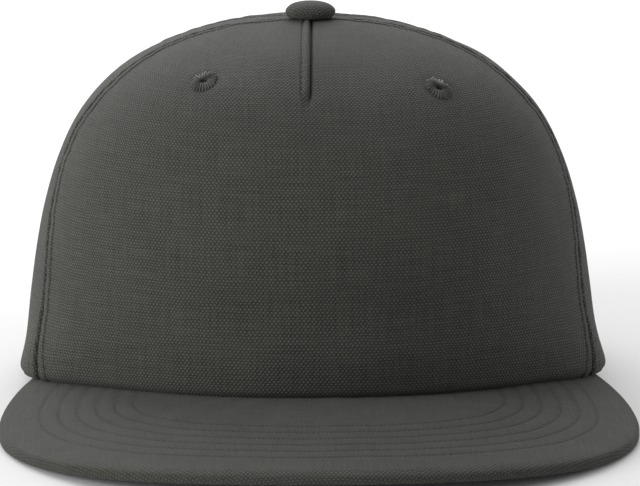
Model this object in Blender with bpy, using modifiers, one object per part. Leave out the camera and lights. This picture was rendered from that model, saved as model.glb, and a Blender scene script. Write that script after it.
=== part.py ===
"""A five-panel cap with a flat peak, standing on a table by itself.

Metres, +Z up. The cap faces -Y. The origin is on the table, under the middle of the cap's
length and width. Left is the side of -X, as seen from in front of the cap.

The crown is one smooth surface, a function of the angle round the head (0 is the front's
middle, 90 the right side, 180 the back) and of the way up from the hem to the button. Each
cloth panel is a stretch of that surface with Solidify. The peak is a bent sheet that lies
under the front hem, and the hem, the sweatband and the strap follow the same two surfaces.
"""
import math

import bmesh
import bpy
import numpy as np
from mathutils import Matrix, Vector

MM = 0.001

# Crown, measured on the outside of the cloth from the button's axis. TOPSTITCH_MOST: the most of a
# panel's width that a topstitch line stands in from its seam, near the ring.
CROWN_HEIGHT = 115.0 * MM
SIDE_REACH = 91.0 * MM
FRONT_REACH = 98.3 * MM
BACK_REACH = 101.0 * MM
EAR_FLARE = 8.0 * MM
EAR_ANGLE = 64.0
EAR_SPREAD = 15.5
CLOTH = 1.8 * MM
SEAM_GAP = 0.3 * MM
TOPSTITCH = 2.8 * MM
TOPSTITCH_MOST = 0.12
RING_RADIUS = 2.6 * MM

# Peak
PEAK_LENGTH = 74.5 * MM
PEAK_HALF_WIDTH = 97.6 * MM
PEAK_THICKNESS = 3.5 * MM
PEAK_WIDEST = 8.0 * MM
PEAK_REAR_ROUND = 110.0 * MM
PEAK_EAR_ANGLE = 110.0
PEAK_ARCH = 9.6 * MM
PEAK_SLOPE = 2.9
PEAK_TONGUE = 5.0 * MM
PEAK_EDGE_ROUND = 1.1 * MM

# Hem line behind the peak, sweatband, back opening and strap
HEM_GAP = 0.4 * MM
HEM_FALL = 75.0 * MM
BAND_HEIGHT = 30.0 * MM
BAND_THICKNESS = 1.4 * MM
BAND_GAP = 0.7 * MM
BAND_END_GAP = 2.0 * MM
ARCH_WIDTH = 76.0 * MM
ARCH_HEIGHT = 46.0 * MM
STRAP_HEIGHT = 18.0 * MM
STRAP_THICKNESS = 1.4 * MM
STRAP_GAP = 0.3 * MM
STRAP_OVERLAP = 12.0 * MM

# Dart in the front panel: a sewn tuck that runs down from the button. DART_TAPER: share of its
# length in which it fades out. DART_MOST: the most that it reaches out, as a share of the radius.
# DART_ASIDE: how far its lower end lies left of the front's middle.
DART_LENGTH = 67.0 * MM
DART_WIDTH = 2.4 * MM
DART_DEPTH = 0.6 * MM
DART_RAISE = 0.3 * MM
DART_TAPER = 0.15
DART_MOST = 0.3
DART_ASIDE = 2.2 * MM

# Button and eyelets
BUTTON_RADIUS = 8.0 * MM
BUTTON_HEIGHT = 5.0 * MM
BUTTON_GAP = 0.3 * MM
POST_GAP = 0.4 * MM
POST_REACH = 2.2 * MM
EYELET_RADIUS = 3.8 * MM
EYELET_BORE = 1.25 * MM
EYELET_NECK = 2.1 * MM
EYELET_RISE = 0.9 * MM
EYELET_GAP = 0.3 * MM

# The crown's sections from the hem up. height: share of the way from the hem to the button's
# seat. side, front, back: shares of the three reaches. ear: share of the ear flare.
# square: exponent of the section's curve, 2 for an ellipse. seam: angle of the seam
# between front and side panel. rear: angle of the seam between side and back panel.
SECTION_COLUMNS = ("height", "side", "front", "back", "ear", "square", "seam", "rear")
SECTIONS = (
    (0.000, 0.996, 0.992, 0.994, 1.00, 2.05, 60.0, 122.0),
    (0.030, 1.004, 1.002, 0.998, 0.92, 2.05, 60.5, 122.0),
    (0.090, 1.005, 1.010, 1.000, 0.56, 2.04, 63.5, 122.0),
    (0.160, 1.001, 1.008, 1.000, 0.22, 2.04, 66.0, 122.5),
    (0.250, 0.990, 0.998, 0.996, 0.04, 2.05, 67.5, 123.0),
    (0.360, 0.970, 0.988, 0.986, 0.00, 2.08, 69.0, 123.5),
    (0.480, 0.939, 0.962, 0.962, 0.00, 2.12, 71.5, 124.0),
    (0.600, 0.893, 0.912, 0.916, 0.00, 2.15, 74.5, 124.5),
    (0.710, 0.828, 0.840, 0.848, 0.00, 2.15, 76.5, 125.0),
    (0.800, 0.740, 0.745, 0.760, 0.00, 2.15, 77.0, 125.0),
    (0.870, 0.630, 0.635, 0.655, 0.00, 2.12, 81.0, 126.0),
    (0.925, 0.484, 0.495, 0.515, 0.00, 2.08, 90.0, 130.0),
    (0.962, 0.332, 0.350, 0.370, 0.00, 2.04, 98.0, 135.0),
    (0.984, 0.188, 0.210, 0.230, 0.00, 2.00, 103.0, 139.0),
    (0.996, 0.060, 0.080, 0.090, 0.00, 2.00, 105.0, 141.0),
    (1.000, 0.000, 0.000, 0.000, 0.00, 2.00, 105.0, 141.0),
)

# Lines of the front panel beside the dart's seam. across: share of the dart's width from the
# seam, minus to the left. lift: share of the raise. dip: share of the depth.
DART_LINES = (
    (-1.9, 0.0, 0.0),
    (-1.0, 0.5, 0.0),
    (-0.35, 1.0, 0.0),
    (0.0, 0.0, 1.0),
    (0.45, 0.3, 0.0),
    (1.6, 0.0, 0.0),
)

# Eyelets: name, angle round the head, share of the way up from the hem
EYELETS = (
    ("front_left", -34.8, 0.882),
    ("front_right", 36.4, 0.861),
    ("side_left", -116.0, 0.780),
    ("side_right", 116.0, 0.780),
    ("back_left", -152.0, 0.868),
    ("back_right", 152.0, 0.868),
)

# Mesh density
CROWN_ROWS = 21
FRONT_COLUMNS = 8
SIDE_COLUMNS = 8
BACK_COLUMNS = 8
PEAK_COLUMNS = 30
PEAK_ROWS = 6
BAND_COLUMNS = 52
BAND_ROWS = 7
STRAP_COLUMNS = 13
STRAP_ROWS = 4
ARCH_STEPS = 16
ROUND_STEPS = 12
BUTTON_STEPS = 24

# The back seam's angle, and how far the button's axis lies behind the origin, which is under the
# middle of the cap. The arch cuts the widest part of the back away, so its top is the rearmost.
BACK_SEAM = 180.0
TABLE = np.array(SECTIONS)
HEIGHTS = TABLE[:, SECTION_COLUMNS.index("height")]
BACK_SHARES = TABLE[:, SECTION_COLUMNS.index("back")]
BACK_END = BACK_REACH * np.interp(ARCH_HEIGHT / CROWN_HEIGHT, HEIGHTS, BACK_SHARES)
FRONT_JOINT = FRONT_REACH * TABLE[0, SECTION_COLUMNS.index("front")]
CROWN_SHIFT = (FRONT_JOINT + PEAK_LENGTH - BACK_END) / 2.0


def section_at(way):
    """The table's columns at a way up the crown, 0 at the hem and 1 at the ring, on smooth curves."""
    last = len(TABLE) - 1
    place = np.clip(np.asarray(way, dtype=float), 0.0, 1.0) * last
    row = np.minimum(place.astype(int), last - 1)
    part = (place - row)[..., None]
    start = TABLE[row]
    end = TABLE[row + 1]
    before = np.where((row > 0)[..., None], TABLE[np.maximum(row - 1, 0)], 2 * start - end)
    after = np.where((row < last - 1)[..., None], TABLE[np.minimum(row + 2, last)], 2 * end - start)
    values = 0.5 * (
        2 * start
        + (end - before) * part
        + (2 * before - 5 * start + 4 * end - after) * part**2
        + (3 * start - before - 3 * end + after) * part**3
    )
    return dict(zip(SECTION_COLUMNS, np.moveaxis(values, -1, 0)))


def way_at_height(share):
    """The way up the crown where the height column has a share."""
    ways = np.linspace(0.0, 1.0, 301)
    return np.interp(share, section_at(ways)["height"], ways)


def section_plan(angle, section):
    """Plan x and y of the crown's outside: a superellipse round the button, pushed out at the ears."""
    turn = np.radians(angle)
    across = np.abs(np.sin(turn))
    along = np.abs(np.cos(turn))
    side = RING_RADIUS + (SIDE_REACH - RING_RADIUS) * section["side"]
    front = RING_RADIUS + (FRONT_REACH - RING_RADIUS) * section["front"]
    back = RING_RADIUS + (BACK_REACH - RING_RADIUS) * section["back"]
    reach = np.where(np.cos(turn) > 0, front, back)
    square = section["square"]
    radius = ((across / side) ** square + (along / reach) ** square) ** (-1.0 / square)
    off_ear = (np.abs(np.asarray(angle)) - EAR_ANGLE) / EAR_SPREAD
    radius = radius + EAR_FLARE * section["ear"] * np.exp(-(off_ear**2))
    return radius * np.sin(turn), CROWN_SHIFT - radius * np.cos(turn)


def peak_outline(angle):
    """Plan x and y of the peak's outer edge, an ellipse in front of its widest line and another behind."""
    turn = np.radians(angle)
    widest = CROWN_SHIFT - FRONT_JOINT + PEAK_WIDEST
    reach = np.where(np.cos(turn) > 0, PEAK_LENGTH + PEAK_WIDEST, PEAK_REAR_ROUND)
    return PEAK_HALF_WIDTH * np.sin(turn), widest - reach * np.cos(turn)


def peak_fall(x, y):
    """How far the peak's top lies below its highest point in front of the crown's middle."""
    forward = CROWN_SHIFT - FRONT_JOINT - y
    return PEAK_ARCH * (x / PEAK_HALF_WIDTH) ** 2 + math.tan(math.radians(PEAK_SLOPE)) * forward


def peak_top(x, y):
    """Height of the peak's top, set so that the lowest point of its underside is on the table."""
    edge_x, edge_y = peak_outline(np.linspace(-PEAK_EAR_ANGLE, PEAK_EAR_ANGLE, 221))
    return PEAK_THICKNESS + peak_fall(edge_x, edge_y).max() - peak_fall(x, y)


def hem_over(x, y):
    """Height of a hem over a plan point: on the peak in front, falling to the table behind its ears."""
    ear = peak_outline(PEAK_EAR_ANGLE)[1] + PEAK_TONGUE
    on_peak = peak_top(x, np.minimum(y, ear)) + HEM_GAP
    fall = np.clip((y - ear) / HEM_FALL, 0.0, 1.0)
    return on_peak * (1.0 - fall * fall * (3.0 - 2.0 * fall))


def hem_height(angle):
    """Height of the crown's hem at an angle."""
    bottom = section_at(np.zeros_like(np.asarray(angle, dtype=float)))
    return hem_over(*section_plan(angle, bottom))


def crown_point(angle, way):
    """A point on the crown's outside, for arrays of angles and of ways up."""
    angle, way = np.broadcast_arrays(np.asarray(angle, dtype=float), np.asarray(way, dtype=float))
    section = section_at(way)
    x, y = section_plan(angle, section)
    hem = hem_height(angle)
    return np.stack([x, y, hem + (CROWN_HEIGHT - hem) * section["height"]], axis=-1)


def crown_normal(angle, way):
    """The outward normal of the crown, from short steps round it and up it."""
    step_angle = 0.2
    step_way = 0.002
    low = np.maximum(np.asarray(way) - step_way, 0.0)
    high = np.minimum(np.asarray(way) + step_way, 1.0)
    around = crown_point(np.asarray(angle) + step_angle, way) - crown_point(np.asarray(angle) - step_angle, way)
    upward = crown_point(angle, high) - crown_point(angle, low)
    normal = np.cross(around, upward)
    return normal / np.linalg.norm(normal, axis=-1, keepdims=True)


def inner_rows(angle, height, depth, thickness, rows):
    """Grid a depth inside the crown's outside, from just over the peak or the table to a height at the back."""
    top = way_at_height(height / CROWN_HEIGHT)
    ways = np.linspace(0.0, top, 61)[:, None]
    lines = crown_point(angle, ways) - crown_normal(angle, ways) * depth
    inner_edge = lines[0] - crown_normal(angle, 0.0) * thickness
    bottom = hem_over(inner_edge[:, 0], inner_edge[:, 1])
    start = np.array([np.interp(low, line, ways[:, 0]) for low, line in zip(bottom, lines[..., 2].T)])
    way = start + (top - start) * np.linspace(0.0, 1.0, rows)[:, None]
    points = crown_point(angle, way) - crown_normal(angle, way) * depth
    points[0, :, 2] = bottom
    return points


def gap_angle(angle, way, gap):
    """The angle that a gap takes along the crown's section there."""
    step = 0.5
    length = np.linalg.norm(crown_point(angle + step, way) - crown_point(angle - step, way), axis=-1)
    return gap / (length / (2 * step))


def new_collection(name):
    """A collection in the scene."""
    collection = bpy.data.collections.new(name)
    bpy.context.scene.collection.children.link(collection)
    return collection


def new_material(name, colour, roughness):
    """A plain Principled material."""
    material = bpy.data.materials.new(name)
    material.use_nodes = True
    shader = material.node_tree.nodes["Principled BSDF"]
    shader.inputs["Base Color"].default_value = (*colour, 1.0)
    shader.inputs["Roughness"].default_value = roughness
    shader.inputs["Metallic"].default_value = 0.0
    return material


def add_object(name, mesh, collection, material=None):
    """An object for a mesh, in a collection."""
    thing = bpy.data.objects.new(name, mesh)
    collection.objects.link(thing)
    if material:
        mesh.materials.append(material)
    return thing


def grid_mesh(name, points):
    """An open surface through a grid of points, rows by columns, facing the side that its turn gives."""
    rows, columns = points.shape[:2]
    index = np.arange(rows * columns).reshape(rows, columns)
    corners = (index[:-1, :-1], index[:-1, 1:], index[1:, 1:], index[1:, :-1])
    faces = np.stack(corners, axis=-1).reshape(-1, 4)
    mesh = bpy.data.meshes.new(name)
    mesh.from_pydata(points.reshape(-1, 3).tolist(), [], faces.tolist())
    mesh.shade_smooth()
    return mesh


def add_sheet(name, points, thickness, collection, material):
    """A sheet of even thickness whose outer face goes through a grid of points."""
    sheet = add_object(name, grid_mesh(name, points), collection, material)
    wall = sheet.modifiers.new("Wall", "SOLIDIFY")
    wall.thickness = thickness
    wall.offset = -1.0
    return sheet


def turned_mesh(name, profile, steps):
    """A closed turned body from a profile of radius and height that runs down its outer side."""
    mesh = bpy.data.meshes.new(name)
    edges = [(i, i + 1) for i in range(len(profile) - 1)]
    if profile[0][0] > 0 and profile[-1][0] > 0:
        edges.append((len(profile) - 1, 0))
    mesh.from_pydata([(radius, 0.0, height) for radius, height in profile], edges, [])
    holder = bpy.data.objects.new(name, mesh)
    bpy.context.scene.collection.objects.link(holder)
    turn = holder.modifiers.new("Turn", "SCREW")
    turn.steps = steps
    turn.render_steps = steps
    turn.use_merge_vertices = True
    turn.merge_threshold = 0.01 * MM
    bpy.context.view_layer.update()
    turned = bpy.data.meshes.new_from_object(holder.evaluated_get(bpy.context.evaluated_depsgraph_get()))
    bpy.data.objects.remove(holder)
    return turned


def cut(piece, cutter):
    """Take a cutter out of a piece."""
    boolean = piece.modifiers.new("Cut " + cutter.name, "BOOLEAN")
    boolean.operation = "DIFFERENCE"
    boolean.solver = "EXACT"
    boolean.object = cutter


def hide_cutter(cutter):
    """Show a cutter as wire, and keep it out of the render."""
    cutter.display_type = "WIRE"
    cutter.hide_render = True


def seam_lines(seam, way, width, side):
    """Angles of a panel's edge and of its topstitch line, on one side of a seam."""
    edge = seam + side * gap_angle(seam, way, SEAM_GAP / 2)
    stitch = np.minimum(gap_angle(seam, way, TOPSTITCH), TOPSTITCH_MOST * width)
    return edge, edge + side * stitch


def spread(low, high, columns):
    """Angles of evenly spaced lines between two lines, both included."""
    share = np.linspace(0.0, 1.0, columns + 1)
    return low[:, None] + (high - low)[:, None] * share[None, :]


def panel_points(low_seam, high_seam, columns):
    """Grid of a panel between two seams, each a function of the section, with half a seam gap at each."""
    way = np.linspace(0.0, 1.0, CROWN_ROWS)
    section = section_at(way)
    low = low_seam(section)
    high = high_seam(section)
    low_edge, low_stitch = seam_lines(low, way, high - low, 1)
    high_edge, high_stitch = seam_lines(high, way, high - low, -1)
    inner = spread(low_stitch, high_stitch, columns)
    angle = np.concatenate([low_edge[:, None], inner, high_edge[:, None]], axis=1)
    return crown_point(angle, way[:, None])


def front_panel_points():
    """Grid of the front panel, with lines of its own along the dart and the dart's relief."""
    way = np.linspace(0.0, 1.0, CROWN_ROWS)
    section = section_at(way)
    seam = section["seam"]
    edge, stitch = seam_lines(seam, way, 2 * seam, -1)
    radius = RING_RADIUS + (FRONT_REACH - RING_RADIUS) * section["front"]
    lines = np.array(DART_LINES)
    middle = crown_point(np.zeros_like(way), way)
    length_below = np.linalg.norm(np.diff(middle[::-1], axis=0), axis=-1)
    from_ring = np.concatenate([[0.0], np.cumsum(length_below)])[::-1]
    aside = DART_ASIDE * np.clip(from_ring / DART_LENGTH, 0.0, 1.0)
    across = lines[None, :, 0] * DART_WIDTH - aside[:, None]
    room = np.minimum(1.0, radius * DART_MOST / np.abs(across).max(axis=1))
    dart = np.degrees(np.arcsin(across * room[:, None] / radius[:, None]))
    left = spread(-stitch, dart[:, 0], FRONT_COLUMNS)[:, :-1]
    right = spread(dart[:, -1], stitch, FRONT_COLUMNS)[:, 1:]
    angle = np.concatenate([-edge[:, None], left, dart, right, edge[:, None]], axis=1)
    points = crown_point(angle, way[:, None])
    strength = np.clip((1.0 - from_ring / DART_LENGTH) / DART_TAPER, 0.0, 1.0) * room
    relief = (lines[:, 1] * DART_RAISE - lines[:, 2] * DART_DEPTH)[None, :] * strength[:, None]
    first = left.shape[1] + 1
    normal = crown_normal(dart, way[:, None])
    points[:, first : first + len(lines)] += normal * relief[..., None]
    return points


def mirrored(points):
    """The grid of the same piece on the other side, turned so that it still faces out."""
    return (points * np.array([-1.0, 1.0, 1.0]))[:, ::-1]


def build_crown(collection, cloth):
    """The five cloth panels."""
    side = panel_points(lambda s: s["seam"], lambda s: s["rear"], SIDE_COLUMNS)
    back = panel_points(lambda s: s["rear"], lambda s: np.full_like(s["rear"], BACK_SEAM), BACK_COLUMNS)
    grids = {
        "front_panel": front_panel_points(),
        "right_side_panel": side,
        "left_side_panel": mirrored(side),
        "right_back_panel": back,
        "left_back_panel": mirrored(back),
    }
    return {name: add_sheet(name, grid, CLOTH, collection, cloth) for name, grid in grids.items()}


def arch_mesh():
    """The back opening as a solid: an arch with straight feet, long enough to pass through the wall."""
    radius = ARCH_WIDTH / 2
    rise = ARCH_HEIGHT - radius
    turns = [math.pi * i / ARCH_STEPS for i in range(ARCH_STEPS + 1)]
    outline = [(radius * math.cos(turn), rise + radius * math.sin(turn)) for turn in turns]
    outline = [(radius, -rise), *outline, (-radius, -rise)]
    bm = bmesh.new()
    face = bm.faces.new([bm.verts.new((x, BACK_REACH / 2 + CROWN_SHIFT, z)) for x, z in outline])
    moved = bmesh.ops.extrude_face_region(bm, geom=[face])["geom"]
    corners = [item for item in moved if isinstance(item, bmesh.types.BMVert)]
    bmesh.ops.translate(bm, verts=corners, vec=(0.0, BACK_REACH, 0.0))
    bmesh.ops.recalc_face_normals(bm, faces=bm.faces)
    mesh = bpy.data.meshes.new("arch")
    bm.to_mesh(mesh)
    bm.free()
    return mesh


def cut_arch(panels, cutters):
    """Cut the opening over the strap out of both back panels."""
    arch = add_object("arch_cutter", arch_mesh(), cutters)
    hide_cutter(arch)
    cut(panels["left_back_panel"], arch)
    cut(panels["right_back_panel"], arch)


def seat_matrix(angle, share):
    """A frame on the crown's outside with its Z along the outward normal."""
    way = way_at_height(share)
    normal = Vector(crown_normal(angle, way))
    turn = normal.to_track_quat("Z", "Y").to_matrix().to_4x4()
    return Matrix.Translation(Vector(crown_point(angle, way))) @ turn


def eyelet_profile():
    """Section of an eyelet: a round rim on the cloth and a neck through it, down its outer side."""
    top = EYELET_GAP + EYELET_RISE
    return [
        (EYELET_BORE, top - 0.25 * EYELET_RISE),
        (0.5 * (EYELET_BORE + EYELET_RADIUS), top),
        (EYELET_RADIUS - 0.25 * EYELET_RISE, top - 0.2 * EYELET_RISE),
        (EYELET_RADIUS, EYELET_GAP + 0.25 * EYELET_RISE),
        (EYELET_RADIUS - 0.25 * EYELET_RISE, EYELET_GAP),
        (EYELET_NECK, EYELET_GAP),
        (EYELET_NECK, -CLOTH),
        (EYELET_BORE, -CLOTH),
    ]


def build_eyelets(panels, collection, cutters, thread):
    """Six sewn eyelets, each in a hole through its panel."""
    panel_of = {"front": "front_panel", "side": "{}_side_panel", "back": "{}_back_panel"}
    shape = turned_mesh("eyelet", eyelet_profile(), ROUND_STEPS)
    shape.materials.append(thread)
    hole_radius = EYELET_NECK + EYELET_GAP
    for name, angle, share in EYELETS:
        place, side = name.split("_")
        seat = seat_matrix(angle, share)
        eyelet = add_object("eyelet_" + name, shape, collection)
        eyelet.matrix_world = seat
        bm = bmesh.new()
        size = {"radius1": hole_radius, "radius2": hole_radius, "depth": 6 * CLOTH}
        bmesh.ops.create_cone(bm, cap_ends=True, segments=ROUND_STEPS, **size)
        mesh = bpy.data.meshes.new("hole")
        bm.to_mesh(mesh)
        bm.free()
        hole = add_object("hole_" + name, mesh, cutters)
        hole.matrix_world = seat
        hide_cutter(hole)
        cut(panels[panel_of[place].format(side)], hole)


def build_button(collection, cloth):
    """The covered button: a flattened dome whose post goes down through the ring of the panels."""
    post = RING_RADIUS - POST_GAP
    seat = CROWN_HEIGHT + BUTTON_GAP
    edge = 0.34 * BUTTON_HEIGHT
    profile = [(0.0, seat + BUTTON_HEIGHT)]
    for turn in (18, 36, 54, 72, 90):
        angle = math.radians(turn)
        height = seat + edge + (BUTTON_HEIGHT - edge) * math.cos(angle)
        profile.append((BUTTON_RADIUS * math.sin(angle) ** 0.8, height))
    profile += [
        (BUTTON_RADIUS * 0.94, seat + 0.3 * edge),
        (BUTTON_RADIUS * 0.84, seat),
        (post, seat),
        (post, CROWN_HEIGHT - CLOTH - POST_REACH),
        (0.0, CROWN_HEIGHT - CLOTH - POST_REACH),
    ]
    button = add_object("top_button", turned_mesh("top_button", profile, BUTTON_STEPS), collection, cloth)
    button.location = (0.0, CROWN_SHIFT, 0.0)
    return button


def build_peak(collection, cloth):
    """The flat peak: a bent sheet from its tongue under the crown's hem to its outer edge."""
    along = np.linspace(-1.0, 1.0, PEAK_COLUMNS + 1)
    outer_x, outer_y = peak_outline(along * PEAK_EAR_ANGLE)
    angles = np.linspace(-90.0, 90.0, 361)
    hem = crown_point(angles, np.zeros_like(angles))
    reach = angles[hem[:, 1] <= outer_y[0] + PEAK_TONGUE / 2].max()
    hem_angle = along * reach
    inner = crown_point(hem_angle, 0.0)[:, :2]
    inward = crown_normal(hem_angle, 0.0)[:, :2]
    inner = inner - inward / np.linalg.norm(inward, axis=-1, keepdims=True) * PEAK_TONGUE
    outer = np.stack([outer_x, outer_y], axis=-1)
    share = np.linspace(0.0, 1.0, PEAK_ROWS + 1)[:, None, None]
    plan = outer[None] + (inner - outer)[None] * share
    points = np.concatenate([plan, peak_top(plan[..., 0], plan[..., 1])[..., None]], axis=-1)
    peak = add_sheet("peak", points, PEAK_THICKNESS, collection, cloth)
    rounding = peak.modifiers.new("Edge", "BEVEL")
    rounding.width = PEAK_EDGE_ROUND
    rounding.segments = 2
    rounding.limit_method = "ANGLE"
    rounding.angle_limit = math.radians(50)
    return peak


def strap_half_angle():
    """Angle from the middle of the back to the strap's end, inside the back panel."""
    inside = BACK_REACH - CLOTH - STRAP_GAP
    return math.degrees(math.asin((ARCH_WIDTH / 2 + STRAP_OVERLAP) / inside))


def build_band(collection, material):
    """The sweatband, plain, inside the hem from one end of the strap round the front to the other."""
    ends = BACK_SEAM - strap_half_angle() - math.degrees(BAND_END_GAP / BACK_REACH)
    angle = np.linspace(-ends, ends, BAND_COLUMNS + 1)
    points = inner_rows(angle, BAND_HEIGHT, CLOTH + BAND_GAP, BAND_THICKNESS, BAND_ROWS)
    return add_sheet("sweatband", points, BAND_THICKNESS, collection, material)


def build_strap(collection, material):
    """The strap that closes the back opening, its ends inside the back panels."""
    half = strap_half_angle()
    angle = np.linspace(BACK_SEAM - half, BACK_SEAM + half, STRAP_COLUMNS + 1)
    wrapped = np.where(angle > BACK_SEAM, angle - 2 * BACK_SEAM, angle)
    wall = inner_rows(wrapped, STRAP_HEIGHT, CLOTH + STRAP_GAP, STRAP_THICKNESS, STRAP_ROWS)
    reach = np.hypot(wall[..., 0], wall[..., 1] - CROWN_SHIFT)
    upright = wall[reach.argmin(axis=0), np.arange(len(wrapped))]
    points = np.stack([upright, upright])
    points[0, :, 2] = 0.0
    points[1, :, 2] = STRAP_HEIGHT
    return add_sheet("back_strap", points, STRAP_THICKNESS, collection, material)


def main():
    """Clear the scene and build the cap."""
    for thing in list(bpy.data.objects):
        bpy.data.objects.remove(thing)
    parts = new_collection("flat_peak_cap")
    cutters = new_collection("cutters")
    canvas = new_material("canvas", (0.050, 0.050, 0.046), 0.9)
    brim_canvas = new_material("peak_canvas", (0.058, 0.058, 0.052), 0.9)
    thread = new_material("thread", (0.044, 0.044, 0.041), 0.75)
    lining = new_material("sweatband_cloth", (0.040, 0.040, 0.038), 0.95)
    plastic = new_material("strap_plastic", (0.030, 0.030, 0.029), 0.5)
    panels = build_crown(parts, canvas)
    cut_arch(panels, cutters)
    build_eyelets(panels, parts, cutters, thread)
    build_button(parts, canvas)
    build_peak(parts, brim_canvas)
    build_band(parts, lining)
    build_strap(parts, plastic)


main()
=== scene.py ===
"""Looks of a flat-peak cap: finely modelled cloth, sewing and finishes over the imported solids.

Metres, +Z up, and the cap faces -Y. The crown is one surface, a function of the angle round the
head (0 is the middle of the front, 90 the right side) and of the way up from the hem to the ring
under the button. Each panel, seam, stitch and eyelet is placed on that surface.
"""
import logging
import math
from dataclasses import dataclass, field
from enum import Enum

import bpy
import numpy as np
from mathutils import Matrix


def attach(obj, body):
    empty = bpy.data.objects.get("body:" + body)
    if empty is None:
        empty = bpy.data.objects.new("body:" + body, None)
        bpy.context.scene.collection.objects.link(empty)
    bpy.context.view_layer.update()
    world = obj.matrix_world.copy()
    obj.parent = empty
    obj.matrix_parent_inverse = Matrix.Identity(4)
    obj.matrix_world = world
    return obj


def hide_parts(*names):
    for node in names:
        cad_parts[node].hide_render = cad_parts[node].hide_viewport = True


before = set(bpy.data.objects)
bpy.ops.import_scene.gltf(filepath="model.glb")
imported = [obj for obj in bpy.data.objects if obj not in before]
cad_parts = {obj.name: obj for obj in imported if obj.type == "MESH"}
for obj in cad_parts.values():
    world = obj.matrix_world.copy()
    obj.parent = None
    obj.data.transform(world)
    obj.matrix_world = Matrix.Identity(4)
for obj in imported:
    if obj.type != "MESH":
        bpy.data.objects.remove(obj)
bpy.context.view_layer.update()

MM = 0.001
PHOTO_WIDTH = 640
CLOTH_UV = "cloth"
# Name of the mesh attribute that holds painted shade: in seams, folds, stitch grooves and on the peak's
# edge.
PAINTED_SHADE_ATTRIBUTE = "painted_shade"
Array = np.ndarray
Triple = tuple[float, float, float]
Paths = list[tuple[Array, Array]]
Socket = bpy.types.NodeSocket

log = logging.getLogger("cap")

# The crown's sections from the hem up. height: share of the way from the hem to the button's
# seat. side, front, back: shares of the three reaches. ear: share of the ear flare.
# square: exponent of the section's curve. seam, rear: angles of the two side panel seams.
SECTION_COLUMNS = ("height", "side", "front", "back", "ear", "square", "seam", "rear")
SECTIONS = (
    (0.000, 0.996, 0.992, 0.994, 1.00, 2.05, 60.0, 122.0),
    (0.030, 1.004, 1.002, 0.998, 0.92, 2.05, 60.5, 122.0),
    (0.090, 1.005, 1.010, 1.000, 0.56, 2.04, 63.5, 122.0),
    (0.160, 1.001, 1.008, 1.000, 0.22, 2.04, 66.0, 122.5),
    (0.250, 0.990, 0.998, 0.996, 0.04, 2.05, 67.5, 123.0),
    (0.360, 0.970, 0.988, 0.986, 0.00, 2.08, 69.0, 123.5),
    (0.480, 0.939, 0.962, 0.962, 0.00, 2.12, 71.5, 124.0),
    (0.600, 0.893, 0.912, 0.916, 0.00, 2.15, 74.5, 124.5),
    (0.710, 0.828, 0.840, 0.848, 0.00, 2.15, 76.5, 125.0),
    (0.800, 0.740, 0.745, 0.760, 0.00, 2.15, 77.0, 125.0),
    (0.870, 0.630, 0.635, 0.655, 0.00, 2.12, 81.0, 126.0),
    (0.925, 0.484, 0.495, 0.515, 0.00, 2.08, 90.0, 130.0),
    (0.962, 0.332, 0.350, 0.370, 0.00, 2.04, 98.0, 135.0),
    (0.984, 0.188, 0.210, 0.230, 0.00, 2.00, 103.0, 139.0),
    (0.996, 0.060, 0.080, 0.090, 0.00, 2.00, 105.0, 141.0),
    (1.000, 0.000, 0.000, 0.000, 0.00, 2.00, 105.0, 141.0),
)
TABLE = np.array(SECTIONS)

# Eyelets: name, angle round the head, share of the way up from the hem
EYELETS = (
    ("front_left", -34.8, 0.882),
    ("front_right", 36.4, 0.861),
    ("side_left", -116.0, 0.780),
    ("side_right", 116.0, 0.780),
    ("back_left", -152.0, 0.868),
    ("back_right", 152.0, 0.868),
)

# Shallow dents and bulges of the front panel, in millimetres along the cloth. across: from the
# middle, minus to the left. up: from the hem. wide, high: reach each way. depth: minus is a dent.
DENT_COLUMNS = ("across", "up", "wide", "high", "depth")
FRONT_DENTS = (
    (12.0, 103.0, 11.0, 30.0, -0.9),
    (-16.0, 100.0, 14.0, 34.0, 0.35),
    (0.0, 41.0, 60.0, 11.0, 0.45),
    (0.0, 26.0, 70.0, 8.0, -0.55),
    (0.0, 13.0, 60.0, 6.0, 0.45),
    (-70.0, 34.0, 18.0, 16.0, -0.5),
    (72.0, 36.0, 18.0, 18.0, -0.5),
    (48.0, 74.0, 24.0, 20.0, 0.4),
    (-52.0, 70.0, 26.0, 22.0, 0.35),
)


def smooth(low: float, high: float, value: Array) -> Array:
    """Smooth step of a value: 0 below low, 1 above high, 3t^2 - 2t^3 between."""
    share = np.clip((value - low) / (high - low), 0.0, 1.0)
    return share * share * (3.0 - 2.0 * share)


def bell(value: Array, centre: float, width: float) -> Array:
    """Bell curve of height 1 round a centre: exp(-((value - centre) / width)^2)."""
    return np.exp(-(((value - centre) / width) ** 2))


def ripple(along: Array, lengths: tuple[float, ...], phase: float) -> Array:
    """Uneven wave between about -1 and 1: the mean of a sine for each wavelength.

    Args:
        along: distance along the wave.
        lengths: wavelengths, in the unit of along.
        phase: turn that makes one wave differ from the next.

    Returns:
        The wave's value at each place.
    """
    turned = [phase * (2.3 + 1.7 * number) for number in range(len(lengths))]
    waves = [np.sin(2.0 * math.pi * along / size + turn) for size, turn in zip(lengths, turned)]
    return sum(waves) / len(waves)


def unit(vectors: Array) -> Array:
    """Vectors scaled to length 1."""
    return vectors / np.maximum(np.linalg.norm(vectors, axis=-1, keepdims=True), 1e-12)


def running_length(points: Array) -> Array:
    """Distance along a line of points, from its first point, over the last but one axis."""
    steps = np.linalg.norm(np.diff(points, axis=-2), axis=-1)
    start = np.zeros(steps.shape[:-1] + (1,))
    return np.concatenate([start, np.cumsum(steps, axis=-1)], axis=-1)


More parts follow.
